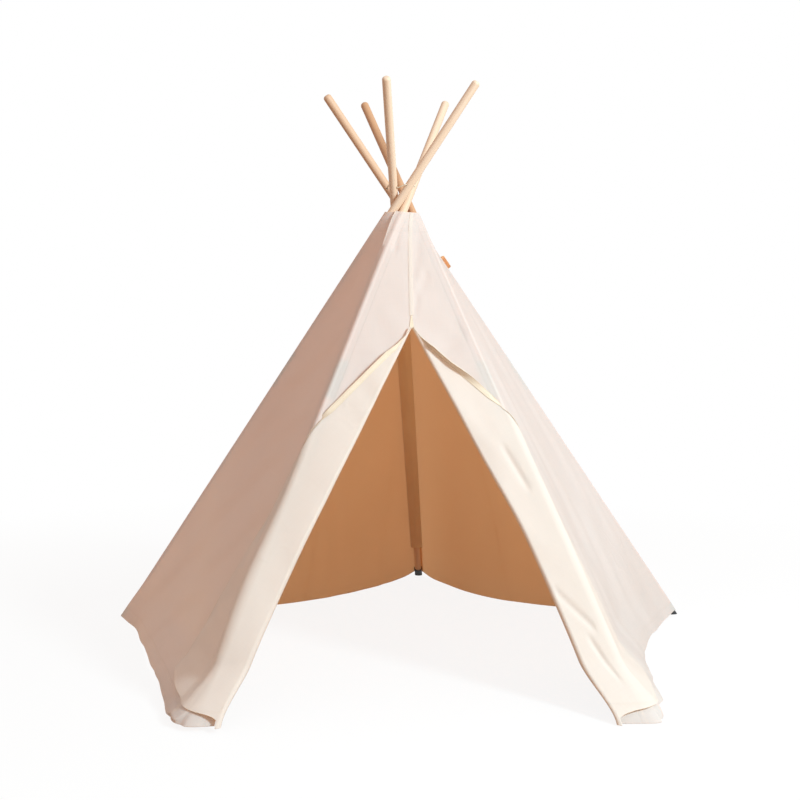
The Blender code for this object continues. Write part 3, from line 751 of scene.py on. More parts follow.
class Effects:
    """The node groups that several finishes share."""

    def __init__(self) -> None:
        """Builds each group once."""
        self.weave = self.make_weave()
        self.stitches = self.make_stitches()
        self.crumple = self.make_crumple()
        self.grain = self.make_grain()

    @staticmethod
    def start(
            name: str, inputs: dict[str, tuple[str, float]], outputs: tuple[str, ...],
    ) -> tuple[Tree, bpy.types.NodeOutputs, bpy.types.NodeInputs]:
        """An empty group with its sockets.

        Args:
            name: The group's name.
            inputs: Each input's socket type and default.
            outputs: The outputs, all plain values.

        Returns:
            The wiring helper, the group's inputs and its outputs.
        """
        tree = bpy.data.node_groups.new(name, "ShaderNodeTree")
        for label, (kind, default) in inputs.items():
            socket = tree.interface.new_socket(
                label, in_out="INPUT", socket_type="NodeSocket" + kind)
            if kind == "Float":
                socket.default_value = default
        for label in outputs:
            tree.interface.new_socket(label, in_out="OUTPUT", socket_type="NodeSocketFloat")
        wires = Tree(tree)
        source = tree.nodes.new("NodeGroupInput")
        sink = tree.nodes.new("NodeGroupOutput")
        return wires, source.outputs, sink.inputs

    def make_weave(self) -> bpy.types.NodeTree:
        """Plain canvas weave: threads over and under, with uneven yarn.

        Returns:
            The group.
        """
        wires, given, out = self.start(
            "canvas_weave", {"Cloth": ("Vector", 0), "Thread": ("Float", 0.0009)},
            ("Height", "Tone"))
        flat = wires.parts(given["Cloth"])
        turns = [wires.maths("DIVIDE", flat[i], given["Thread"]) for i in (0, 1)]
        waves = [wires.maths("SINE", wires.maths("MULTIPLY", turn, math.pi)) for turn in turns]
        both = wires.maths("MULTIPLY", *waves)
        wires.feed(out["Height"], wires.maths("MULTIPLY_ADD", both, 0.5, 0.5))
        warp = wires.noise(wires.stretched(given["Cloth"], (420, 14, 1)), 1.0, 2.0, 0.6)
        weft = wires.noise(wires.stretched(given["Cloth"], (14, 420, 1)), 1.0, 2.0, 0.6)
        wires.feed(out["Tone"], wires.maths("MULTIPLY", wires.maths("ADD", warp, weft), 0.5))
        return wires.tree

    def make_stitches(self) -> bpy.types.NodeTree:
        """One row of lockstitch: thread lying in small dimples, with painted shade beside the row.

        Returns:
            The group.
        """
        wires, given, out = self.start(
            "stitch_row",
            {
                "Across": ("Float", 1.0), "Along": ("Float", 0.0),
                "Pitch": ("Float", 0.0042), "Width": ("Float", 0.0006),
            },
            ("Thread", "Height", "Pucker"),
        )
        half = wires.maths("MULTIPLY", given["Pitch"], 0.5)
        beat = wires.maths("PINGPONG", given["Along"], half)
        share = wires.maths("DIVIDE", beat, given["Pitch"])
        away = wires.maths("ABSOLUTE", given["Across"])
        line = wires.maths("LESS_THAN", away, given["Width"])
        dash = wires.maths("GREATER_THAN", share, 0.13)
        thread = wires.maths("MULTIPLY", line, dash)
        wires.feed(out["Thread"], thread)
        dip = wires.spread(away, 0.0, 0.0030, -1.0, 0.0)
        wires.feed(out["Height"], wires.maths("ADD", dip, wires.maths("MULTIPLY", thread, 0.9)))
        # painted shade: a share that is 1 on the row and fades to 0 at 3.5 mm, for darkening the
        # colour where the dimples lie in shade
        wires.feed(out["Pucker"], wires.spread(away, 0.0, 0.0035, 1.0, 0.0))
        return wires.tree

    def make_crumple(self) -> bpy.types.NodeTree:
        """Soft creases of pressed cotton, and faint stains of handling.

        Returns:
            The group.
        """
        wires, given, out = self.start(
            "cotton_crumple", {"Place": ("Vector", 0), "Size": ("Float", 1.0)},
            ("Height", "Mottle"))
        feeds = {0: given["Place"], "Scale": given["Size"]}
        place = wires.add("VectorMath", feeds, operation="SCALE").outputs[0]
        broad = wires.noise(wires.stretched(place, (5.0, 5.0, 2.4)), 1.0, 3.0, 0.55)
        uneven = wires.noise(place, 9.0, 2.0, 0.5)
        ridge = wires.maths("ABSOLUTE", wires.maths("SUBTRACT", uneven, 0.5))
        fold = wires.spread(ridge, 0.0, 0.05, 1.0, 0.0)
        gate = wires.spread(wires.noise(place, 3.1, 1.0), 0.52, 0.68)
        pressed = wires.maths("MULTIPLY", wires.maths("MULTIPLY", fold, gate), 0.10)
        wires.feed(out["Height"], wires.maths("ADD", broad, pressed))
        wires.feed(out["Mottle"], wires.noise(place, 2.3, 4.0, 0.6))
        return wires.tree

    def make_grain(self) -> bpy.types.NodeTree:
        """Straight pine grain along a pole, with a few flecks.

        Returns:
            The group.
        """
        wires, given, out = self.start(
            "pine_grain", {"Grain": ("Vector", 0)}, ("Figure", "Fleck", "Height"))
        along = wires.stretched(given["Grain"], (70, 70, 2.2))
        figure = wires.noise(along, 1.0, 3.0, 0.55)
        rings = wires.maths("FRACT", wires.maths("MULTIPLY", figure, 5.0))
        wires.feed(out["Figure"], wires.maths("PINGPONG", rings, 0.5))
        pores = wires.noise(wires.stretched(given["Grain"], (900, 900, 24)), 1.0, 2.0, 0.6)
        wires.feed(out["Fleck"], wires.spread(pores, 0.62, 0.72))
        dips = wires.maths("MULTIPLY", pores, 0.4)
        wires.feed(out["Height"], wires.maths("SUBTRACT", figure, dips))
        return wires.tree


@dataclass(frozen=True)
class Finish:
    """A surface's plain colours and gloss."""

    name: str
    colour: tuple[int, int, int]
    shade: tuple[int, int, int]
    roughness: float
    bump: float

    def shader(self, **sockets: float) -> tuple[bpy.types.Material, Tree, bpy.types.Node]:
        """A new material with its Principled shader's constant sockets set.

        Args:
            sockets: Values by socket, with _ for a space.

        Returns:
            The material, its wiring helper and the shader.
        """
        made = bpy.data.materials.new(self.name)
        made.use_nodes = True
        wires = Tree(made.node_tree)
        shader = made.node_tree.nodes["Principled BSDF"]
        shader.inputs["Roughness"].default_value = self.roughness
        for name, value in sockets.items():
            shader.inputs[name.replace("_", " ")].default_value = value
        return made, wires, shader

    def relief(self, wires: Tree, shader: bpy.types.Node, *layers: tuple) -> None:
        """Chains bump layers into the shader's normal.

        Args:
            wires: The material's wiring helper.
            shader: The shader that takes the normal.
            layers: Pairs of a height and the depth that it stands for in metres.
        """
        normal = None
        for height, depth in layers:
            feeds = {"Strength": self.bump, "Distance": depth, "Height": height}
            if normal:
                feeds["Normal"] = normal
            normal = wires.add("Bump", feeds).outputs[0]
        wires.feed(shader.inputs["Normal"], normal)

    def stitched(self, wires: Tree, effects: Effects, rows: tuple[tuple, ...]) -> list[Socket]:
        """Rows of stitches together.

        Args:
            wires: The material's wiring helper.
            effects: The shared effects.
            rows: For each row a mark, its value on the row, and the way along the row.

        Returns:
            Where the thread shows, the relief, and the painted shade beside the rows.
        """
        made = [
            wires.group(effects.stitches, Across=wires.maths("SUBTRACT", mark, value), Along=along)
            for mark, value, along in rows
        ]
        return [
            wires.best(operation, [outputs[place] for outputs in made])
            for place, operation in enumerate(("MAXIMUM", "MINIMUM", "MAXIMUM"))
        ]


@dataclass(frozen=True)
class Canvas(Finish):
    """Cotton canvas: weave, soft creases, stitched hem and seams, with painted shade beside the
    stitches.
    """

    hem_row: float = 0.038
    top_row: float = 1.098
    seam_row: float = 0.012
    thread_size: float = 0.0009
    glow: float = 0.0
    glow_tint: tuple[int, int, int] = (250, 217, 179)

    def lit_through(self, wires: Tree, shader: bpy.types.Node, base: Socket) -> None:
        """Lets some light through the cloth, warmed by it.

        Args:
            wires: The material's wiring helper.
            shader: The shader of the cloth's surface.
            base: The socket of the cloth's colour.
        """
        tint = wires.blend(0.75, base, srgb(*self.glow_tint))
        thin = wires.add("BsdfTranslucent", {"Color": tint}).outputs[0]
        both = wires.add("MixShader", {0: self.glow, 1: shader.outputs[0], 2: thin})
        wires.feed(wires.tree.nodes["Material Output"].inputs[0], both.outputs[0])

    def build(self, effects: Effects) -> bpy.types.Material:
        """Wires the canvas from the shared effects.

        Args:
            effects: The shared effects.

        Returns:
            The material.
        """
        made, wires, shader = self.shader(Sheen_Weight=0.12, Sheen_Roughness=0.6)
        shader.inputs["Specular IOR Level"].default_value = 0.2
        cloth = wires.add("UVMap", uv_map="cloth").outputs[0]
        sewing = wires.parts(wires.add("UVMap", uv_map="sewing").outputs[0])
        place = wires.add("TexCoord").outputs["Object"]
        weave = wires.group(effects.weave, Cloth=cloth, Thread=self.thread_size)
        crumple = wires.group(effects.crumple, Place=place, Size=1.0)
        flat = wires.parts(cloth)
        thread, dimple, stitch_shade = self.stitched(wires, effects, (
            (sewing[1], self.hem_row, flat[0]), (sewing[1], self.top_row, flat[0]),
            (sewing[0], self.seam_row, sewing[1])))
        light, dark = srgb(*self.colour), srgb(*self.shade)
        mottle = wires.spread(crumple[1], 0.30, 0.70, 0.0, 0.30)
        base = wires.blend(mottle, light, dark)
        base = wires.blend(wires.spread(weave[1], 0.38, 0.62, 0.18, 0.0), base, dark)
        # painted shade: the canvas is darkened beside every stitch row
        base = wires.blend(wires.maths("MULTIPLY", stitch_shade, 0.2), base, dark)
        base = wires.blend(wires.maths("MULTIPLY", thread, 0.6), base, srgb(252, 248, 238))
        wires.feed(shader.inputs["Base Color"], base)
        self.relief(wires, shader, (crumple[0], 0.010), (weave[0], 0.00012), (dimple, 0.0006))
        if self.glow:
            self.lit_through(wires, shader, base)
        return made


@dataclass(frozen=True)
class Tape(Finish):
    """Twill tape with a row of stitches near each edge, and painted shade beside each row."""

    rows: tuple[float, float] = (0.003, 0.0145)
    thread_size: float = 0.0006

    def build(self, effects: Effects) -> bpy.types.Material:
        """Wires the tape from the shared effects.

        Args:
            effects: The shared effects.

        Returns:
            The material.
        """
        made, wires, shader = self.shader(Sheen_Weight=0.1)
        shader.inputs["Specular IOR Level"].default_value = 0.2
        cloth = wires.add("UVMap", uv_map="cloth").outputs[0]
        sewing = wires.parts(wires.add("UVMap", uv_map="sewing").outputs[0])
        weave = wires.group(effects.weave, Cloth=cloth, Thread=self.thread_size)
        thread, dimple, stitch_shade = self.stitched(
            wires, effects, tuple((sewing[0], row, sewing[1]) for row in self.rows))
        dark = srgb(*self.shade)
        base = wires.blend(wires.spread(weave[1], 0.35, 0.65, 0.5, 0.0), srgb(*self.colour), dark)
        # painted shade: the tape is darkened beside each stitch row, for the shade lines along its
        # edges
        base = wires.blend(wires.maths("MULTIPLY", stitch_shade, 0.6), base, dark)
        base = wires.blend(wires.maths("MULTIPLY", thread, 0.8), base, srgb(246, 232, 205))
        wires.feed(shader.inputs["Base Color"], base)
        self.relief(wires, shader, (weave[0], 0.0001), (dimple, 0.0005))
        return made


@dataclass(frozen=True)
class Pine(Finish):
    """Sanded, unvarnished pine, with painted shade that darkens some poles more than others."""

    pole_shade_colour: tuple[int, int, int] = (206, 156, 116)

    def build(self, effects: Effects) -> bpy.types.Material:
        """Wires the pine from the shared grain.

        Args:
            effects: The shared effects.

        Returns:
            The material.
        """
        made, wires, shader = self.shader()
        shader.inputs["Specular IOR Level"].default_value = 0.35
        place = wires.add("Attribute", attribute_name="grain").outputs["Vector"]
        grain = wires.group(effects.grain, Grain=place)
        light, dark = srgb(*self.colour), srgb(*self.shade)
        base = wires.blend(wires.maths("MULTIPLY", grain[0], 0.9), light, dark)
        base = wires.blend(wires.maths("MULTIPLY", grain[1], 0.25), base, dark)
        # painted shade: each pole's share of the darker brown, standing in for shade on poles
        # turned from the light
        tone = wires.parts(wires.add("Attribute", attribute_name="tone").outputs["Vector"])[0]
        base = wires.blend(tone, base, srgb(*self.pole_shade_colour))
        wires.feed(shader.inputs["Base Color"], base)
        self.relief(wires, shader, (grain[2], 0.0004))
        return made


@dataclass(frozen=True)
class Plain(Finish):
    """Rubber, steel or cord: one colour with fine unevenness."""

    metallic: float = 0.0
    speck: float = 900.0

    def build(self, effects: Effects) -> bpy.types.Material:
        """Wires a colour and roughness that vary a little over the surface.

        Args:
            effects: The shared effects, which it doesn't need.

        Returns:
            The material.
        """
        made, wires, shader = self.shader(Metallic=self.metallic)
        place = wires.add("TexCoord").outputs["Object"]
        dust = wires.noise(place, 60.0, 3.0, 0.6)
        speck = wires.noise(place, self.speck, 2.0, 0.6)
        share = wires.spread(dust, 0.4, 0.7, 0.0, 0.6)
        base = wires.blend(share, srgb(*self.colour), srgb(*self.shade))
        wires.feed(shader.inputs["Base Color"], base)
        rough = wires.spread(dust, 0.3, 0.7, self.roughness - 0.08, self.roughness + 0.08)
        wires.feed(shader.inputs["Roughness"], rough)
        self.relief(wires, shader, (speck, 0.0002))
        return made


class Finishes:
    """Every finish of the tent, built once."""

    def __init__(self) -> None:
        """Builds the shared effects and then the materials."""
        effects = Effects()
        self.canvas = Canvas(
            "canvas", (251, 247, 241), (238, 229, 218), 0.9, 0.5, glow=0.38).build(effects)
        # painted shade: the inner face is the same canvas in a warmer colour, standing in for the
        # warm shade inside the tent
        self.inside = Canvas(
            "canvas_inside", (253, 236, 213), (240, 213, 180), 0.95, 0.5, glow=0.92).build(effects)
        # painted shade: the sleeves are the same canvas in a warmer colour, standing in for the
        # warm shade inside the tent
        self.sleeve = Canvas(
            "canvas_sleeve", (252, 232, 206), (238, 206, 166), 0.95, 0.5, glow=0.10).build(effects)
        self.tape = Tape("binding_tape", (238, 221, 198), (222, 197, 168), 0.85, 0.5).build(effects)
        self.pine = Pine("pine", (240, 212, 187), (232, 196, 160), 0.55, 0.4).build(effects)
        self.rubber = Plain("rubber", (28, 28, 30), (46, 45, 44), 0.62, 0.5).build(effects)
        self.steel = Plain(
            "ferrule_steel", (176, 178, 180), (150, 150, 150), 0.34, 0.3, 1.0).build(effects)
        self.cord = Plain(
            "lashing_cord", (240, 228, 206), (214, 196, 168), 0.85, 0.5).build(effects)


@dataclass
class Sewing:
    """Makes sheets of cloth and fixes each to the body that carries it."""

    cover: Cover
    finishes: Finishes

    def outwards(self, grid: np.ndarray) -> bool:
        """Whether a grid's faces point away from the middle of the tent.

        Args:
            grid: The sheet's rows of points.

        Returns:
            True where they do.
        """
        high, wide = grid.shape[0] // 2, grid.shape[1] // 2
        across = grid[high, min(wide + 1, grid.shape[1] - 1)] - grid[high, wide - 1]
        up = grid[high + 1, wide] - grid[high - 1, wide]
        spot = grid[high, wide]
        away = spot - np.array(self.cover.middle(spot[2]))
        return float(np.cross(across, up) @ away) > 0

    def piece(
        self, name: str, grid: np.ndarray, sewing: np.ndarray, *, body: str | None,
        nodes: tuple[str, ...], rests_on: tuple[str, ...], hold: Hold = Hold.STRETCHED,
        outer: bpy.types.Material | None = None, inner: bpy.types.Material | None = None,
        slot: Slot = Slot.CANVAS, thickness: float | None = None,
    ) -> bpy.types.Object:
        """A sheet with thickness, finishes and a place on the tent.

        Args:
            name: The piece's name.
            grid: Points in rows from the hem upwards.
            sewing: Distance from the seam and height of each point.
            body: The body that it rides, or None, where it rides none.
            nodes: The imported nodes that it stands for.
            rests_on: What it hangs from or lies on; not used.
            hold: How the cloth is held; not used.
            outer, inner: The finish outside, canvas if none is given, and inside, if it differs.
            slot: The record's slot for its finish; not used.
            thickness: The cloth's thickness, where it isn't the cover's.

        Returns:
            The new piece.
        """
        if not self.outwards(grid):
            grid, sewing = grid[:, ::-1], sewing[:, ::-1]
        obj = Bench.sheet(name, grid, sewing)
        outer = outer or self.finishes.canvas
        obj.data.materials.append(outer)
        obj.data.materials.append(inner or outer)
        solid = obj.modifiers.new("canvas_thickness", "SOLIDIFY")
        solid.thickness = thickness or self.cover.cloth
        solid.offset = 0
        solid.material_offset = 1
        Bench.apply_all(obj)
        bpy.ops.object.shade_smooth_by_angle(angle=math.radians(50))
        if body:
            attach(obj, body)
        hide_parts(*nodes)
        width, length, area = Bench.flat_size(grid)
        log.info("%s: %d vertices", name, len(obj.data.vertices))
        return obj


@dataclass
class Rows:
    """The heights at which the cover's pieces have their rows, closer near the hem."""

    cover: Cover
    fine_top: float = 0.07
    near_top: float = 0.16
    counts: tuple[int, ...] = (42, 12, 50, 28)
    notch: tuple[float, ...] = (1.048, 1.0525, 1.0565, 1.061)

    def heights(self) -> np.ndarray:
        """Every row's height, from the hem to the top edge.

        Returns:
            The heights, from low to high.
        """
        cover = self.cover
        marks = (cover.hem, self.fine_top, self.near_top, cover.slit_top, cover.top_edge)
        runs = [np.linspace(*run) for run in zip(marks, marks[1:], self.counts)]
        return np.unique(np.concatenate([*runs, self.notch]))

    @staticmethod
    def ends_close(count: int) -> np.ndarray:
        """Shares from 0 to 1, closer together at both ends."""
        return (1 - np.cos(np.pi * np.linspace(0, 1, count + 1))) / 2


@dataclass
class Hem:
    """The loose hem round a foot: it sinks to the floor, and may flare, crease and curl."""

    bare: float = 0.0
    bare_reach: float = 0.07
    flare: float = 0.0
    flare_place: float = 0.0
    flare_reach: float = 0.15
    crease: tuple[tuple[float, float], ...] = ()
    curl: float = 0.0
    step: float = 0.0045
    step_height: float = 0.0035
    drop: float = 0.0145
    drop_top: float = 0.11
    ground_top: float = 0.12
    floor_gap: float = 0.0014

    def settle(self, distances: np.ndarray, heights: np.ndarray) -> np.ndarray:
        """The heights after the hem has sunk to the floor, less where a foot holds it up."""
        share = 1 - self.bare * np.exp(-(distances / self.bare_reach) ** 2)
        return heights - self.drop * share * ease(1 - heights / self.drop_top)

    def lift(self, distances: np.ndarray, heights: np.ndarray) -> np.ndarray:
        """How far the hem stands out, and how far it curls in below its crease.

        Args:
            distances, heights: Where the points lie on the canvas.

        Returns:
            One lift for each point.
        """
        near = np.clip(1 - ((distances - self.flare_place) / self.flare_reach) ** 2, 0, 1)
        made = self.flare * near * near * ease(1 - heights / self.drop_top)
        if not self.crease:
            return made
        places, levels = np.array(self.crease).T
        level = np.interp(distances, places, levels)
        ends = np.clip((distances - places[0]) / 0.012, 0, 1) * np.clip(
            (places[-1] - distances) / 0.04, 0, 1)
        fall = level - heights
        step = np.clip(fall / self.step_height, 0, 1)
        under = np.clip(fall / np.maximum(level, 0.001), 0, 1)
        overhang = 0.0022 * np.exp(-((fall + 0.002) / 0.005) ** 2)
        return made + ends * (overhang - self.step * step - self.curl * under ** 1.3)

    def ground(self, points: np.ndarray, heights: np.ndarray) -> np.ndarray:
        """Points near the floor at the heights of their rows, none below the floor.

        Args:
            points: Rows of points.
            heights: The height of each one's row.

        Returns:
            The points, moved.
        """
        level = mix(points[:, 2], heights, ease(1 - heights / self.ground_top))
        points[:, 2] = np.maximum(level, self.floor_gap)
        return points


@dataclass
class CanvasFaces:
    """The five faces of the cover, each in two halves that gather to their own pole."""

    sewing: Sewing
    maps: dict[str, CanvasMap]
    drape: Drape
    rows: Rows
    hems: dict[str, Hem]
    columns: int = 56
    keep: float = 0.16
    nodes: dict[frozenset, str] = field(default_factory=lambda: {
        frozenset(("back", "right")): "back_right_panel",
        frozenset(("right", "front_right")): "right_panel",
        frozenset(("front_left", "left")): "left_panel",
        frozenset(("left", "back")): "back_left_panel",
    })

    def build(self, flaps: "DoorFlaps") -> None:
        """Makes ten halves, two beside every pole, and joins each pair along its face's middle.

        Args:
            flaps: The door's flaps, which the front halves end at.
        """
        halves = {}
        for canvas in self.maps.values():
            for side, other in enumerate((canvas.first, canvas.second)):
                made = self.lay(canvas, side, flaps)
                halves[canvas.pole.name, other.name] = (canvas, side, *made)
        pull = Rows.ends_close(self.columns)[None, :, None] ** 2
        for (name, other), (canvas, side, grid, marks) in halves.items():
            gap = (halves[other, name][2][:, -1:] - grid[:, -1:]) / 2
            if self.is_front(name, other):
                gap = gap * (self.rows.heights() >= canvas.cover.slit_top)[:, None, None]
            self.half(canvas, side, grid + gap * pull, marks)

    def is_front(self, name: str, other: str) -> bool:
        """Whether the face between two poles is the one with the door."""
        return frozenset((name, other)) not in self.nodes

    def lay(
            self, canvas: CanvasMap, side: int, flaps: "DoorFlaps",
    ) -> tuple[np.ndarray, np.ndarray]:
        """The points of a half face, from its pole to the face's middle or the door.

        Args:
            canvas: The canvas round the half's own pole.
            side: Which side of the pole the half is on.
            flaps: The door's flaps.

        Returns:
            The rows of points, and each point's distance from the pole's seam and height.
        """
        pole, other = canvas.pole, (canvas.first, canvas.second)[side]
        hem, shares = self.hems[pole.name], Rows.ends_close(self.columns)
        grid, marks = [], []
        for height in self.rows.heights():
            level = np.full(len(shares), height)
            start, end = canvas.span(side, height)
            if self.is_front(pole.name, other.name) and height < canvas.cover.slit_top:
                start, end = flaps.panel_ends(canvas, height)
                distances = mix(start, end, shares)
                level = hem.settle(distances, level)
            else:
                level = hem.settle(mix(start, end, shares), level)
                distances = mix(*canvas.span(side, level), shares)
            lifts = self.drape.lift(canvas, level, distances) + hem.lift(distances, level)
            grid.append(hem.ground(canvas.lay(level, distances, lifts), level))
            level = np.full(len(distances), height)
            marks.append(np.stack([np.abs(distances - start), level], axis=1))
        return np.array(grid), np.array(marks)

    def half(self, canvas: CanvasMap, side: int, grid: np.ndarray, marks: np.ndarray) -> None:
        """One half face, which gathers to its own pole.

        Args:
            canvas: The canvas round the half's own pole.
            side: Which side of the pole the half is on.
            grid, marks: Its points and their sewing marks.
        """
        pole, other = canvas.pole, (canvas.first, canvas.second)[side]
        node = self.nodes.get(frozenset((pole.name, other.name)), f"{pole.name}_panel")
        obj = self.sewing.piece(
            f"{pole.name}_half_to_{other.name}", grid, marks, body=pole.body, nodes=(node,),
            rests_on=pole.lengths, inner=self.sewing.finishes.inside)
        self.gather(obj, canvas, side)

    def gather(self, obj: bpy.types.Object, canvas: CanvasMap, side: int) -> None:
        """Gives a piece a mesh of its own."""
        tuple(self.inwards(canvas, side))
        tuple(self.anchor(canvas, side))
        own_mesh(obj)

    def inwards(self, canvas: CanvasMap, side: int, height: float = 0.4) -> Vector:
        """The direction square to the pole in which a face runs away from it.

        Args:
            canvas: The canvas round a pole.
            side: Which side of the pole.
            height: Where it is measured.

        Returns:
            The unit direction.
        """
        start, end = canvas.span(side, height)
        two = canvas.lay(height, [start, mix(start, end, 0.5)], 0)
        return canvas.pole.across(Vector(two[1] - two[0]))

    def anchor(self, canvas: CanvasMap, side: int, height: float = 0.4) -> Vector:
        """A point where a face leaves its pole."""
        return Vector(canvas.lay(height, [canvas.span(side, height)[0]], 0)[0])


@dataclass
class SeamCovers:
    """The canvas round each pole's outer side, with the felled seam on its far edge."""

    sewing: Sewing
    maps: dict[str, CanvasMap]
    rows: Rows
    faces: CanvasFaces
    overlap: float = 0.012
    lift: float = 0.0019
    curl_reach: float = 0.010
    stitch_shift: float = 0.009
    columns: int = 26
    laps: dict[str, tuple[tuple[float, float, float], ...]] = field(default_factory=lambda: {
        "front_left": (
            (0.0, 0.0115, 0.0006), (1.0525, 0.0115, 0.0006), (1.0565, 0.0040, 0.0030),
            (1.100, 0.0085, 0.0048), (1.150, 0.0150, 0.0030)),
    })

    def build(self) -> None:
        """Makes one cover for every pole."""
        for canvas in self.maps.values():
            self.seam(canvas)

    def lap(self, name: str, height: float) -> tuple[float, float]:
        """How far a seam's free edge reaches past the pole at a height, and how far it curls up.

        Args:
            name: The pole's name.
            height: The height.

        Returns:
            The reach and the curl.
        """
        if name not in self.laps:
            return self.overlap, 0.0
        levels, reaches, curls = np.array(self.laps[name]).T
        return float(np.interp(height, levels, reaches)), float(np.interp(height, levels, curls))

    def seam(self, canvas: CanvasMap) -> None:
        """One seam: flush with the first face, and lapped over the second.

        Args:
            canvas: The canvas round the seam's pole.
        """
        grid, marks = [], []
        shares = np.linspace(0, 1, self.columns + 1)
        pole = canvas.pole
        hem = self.faces.hems[pole.name]
        for height in self.rows.heights():
            overlap, curl = self.lap(pole.name, height)
            start, end = (canvas.reach(canvas.tangents, side, height) for side in (0, 1))
            level = hem.settle(mix(start, end + overlap, shares), np.full(len(shares), height))
            start, end = (canvas.reach(canvas.tangents, side, level) for side in (0, 1))
            end = end + overlap
            distances = mix(start, end, shares)
            lifts = self.lift * ease((distances - start) / -start) + hem.lift(distances, level)
            lifts = lifts + curl * np.clip(1 - (end - distances) / self.curl_reach, 0, 1) ** 1.5
            grid.append(hem.ground(canvas.lay(level, distances, lifts), level))
            level = np.full(len(level), height)
            marks.append(np.stack([end - distances + self.stitch_shift, level], axis=1))
        names = [frozenset((pole.name, other.name)) for other in (canvas.first, canvas.second)]
        self.sewing.piece(
            f"{pole.name}_seam", np.array(grid), np.array(marks), body=pole.body,
            nodes=tuple(self.faces.nodes[name] for name in names if name in self.faces.nodes),
            rests_on=pole.lengths, inner=self.sewing.finishes.inside)


@dataclass
class Sleeves:
    """The strips of canvas sewn inside the cover that hold the poles."""

    sewing: Sewing
    maps: dict[str, CanvasMap]
    bottom: float = 0.11
    top: float = 1.045
    seam_reach: float = 0.0165
    fit_gap: float = 0.0003
    stitch_shift: float = 0.009
    columns: int = 36
    row_step: float = 0.02

    def edge(self, cover: Cover, pole: Pole, other: Pole, height: float) -> tuple[Vector, float]:
        """The seam of a sleeve on one face, and the angle where it leaves the pole.

        Args:
            cover: The run of the canvas.
            pole: The pole.
            other: The neighbour on that face.
            height: The height.

        Returns:
            Its offset from the axis, and the angle.
        """
        parts = cover.flank(pole, other, height)
        out = parts.seam * math.cos(parts.turn) + parts.side * math.sin(parts.turn)
        run = parts.side * math.cos(parts.turn) - parts.seam * math.sin(parts.turn)
        inset = cover.radius - cover.cloth - 2 * self.fit_gap
        edge = out * inset + run * self.seam_reach
        bearing = math.atan2(edge.dot(parts.side), edge.dot(parts.seam))
        return edge, bearing + math.acos(cover.radius / edge.length)

    def row(self, canvas: CanvasMap, height: float) -> list[Vector]:
        """The points of a sleeve at a height, from one face round the pole to the other.

        Args:
            canvas: The canvas round the pole.
            height: The height.

        Returns:
            The points in order.
        """
        cover, pole = canvas.cover, canvas.pole
        before, after = cover.neighbours(pole)
        first_edge, first_turn = self.edge(cover, pole, before, height)
        last_edge, last_turn = self.edge(cover, pole, after, height)
        seam = cover.seam_direction(pole, height)
        side = pole.axis.cross(seam).normalized()
        if side.dot(after.foot - pole.foot) < 0:
            side = -side
        sweep = 2 * math.pi - first_turn - last_turn
        offsets = [first_edge]
        for step in range(self.columns + 1):
            angle = -first_turn - sweep * step / self.columns
            offsets.append((seam * math.cos(angle) + side * math.sin(angle)) * cover.radius)
        offsets.append(last_edge)
        return [pole.skin(height, 1, offset) for offset in offsets]

    def build(self) -> None:
        """Makes one sleeve for every pole."""
        count = round((self.top - self.bottom) / self.row_step)
        for canvas in self.maps.values():
            name = canvas.pole.name
            heights = np.linspace(self.bottom, self.top, count + 1)
            grid = np.array([[tuple(p) for p in self.row(canvas, height)] for height in heights])
            steps = np.linalg.norm(np.diff(grid, axis=1), axis=2)
            across = np.concatenate([np.zeros((len(grid), 1)), np.cumsum(steps, axis=1)], axis=1)
            levels = np.broadcast_to(heights[:, None], across.shape)
            marks = np.stack([across + self.stitch_shift, levels], axis=2)
            self.sewing.piece(
                f"{name}_sleeve_cloth", grid, marks, body=canvas.pole.body,
                nodes=(f"{name}_sleeve",), rests_on=canvas.pole.lengths,
                outer=self.sewing.finishes.sleeve)


@dataclass(frozen=True)
class Door:
    """One half of the door: the front pole it folds round, and how its cloth lies.

    The fold stands further out near the hem by fold_near and fold_far. The free edge crosses the
    pole's ridge at ridge_height and then runs to corner_reach on the side face. The cloth stands
    puff off the ridge, most at puff_height, lies close at the valley and swells beyond it.
    """

    side: str
    pole: str
    ridge_height: float
    fold_near: float
    fold_far: float
    far_top: float
    loop_upper: float
    loop_hem: float
    corner_reach: float
    corner_height: float
    sweep: float
    puff_least: float
    puff: float
    puff_height: float
    puff_width: float
    valley: float
    swell: float
    curl: float


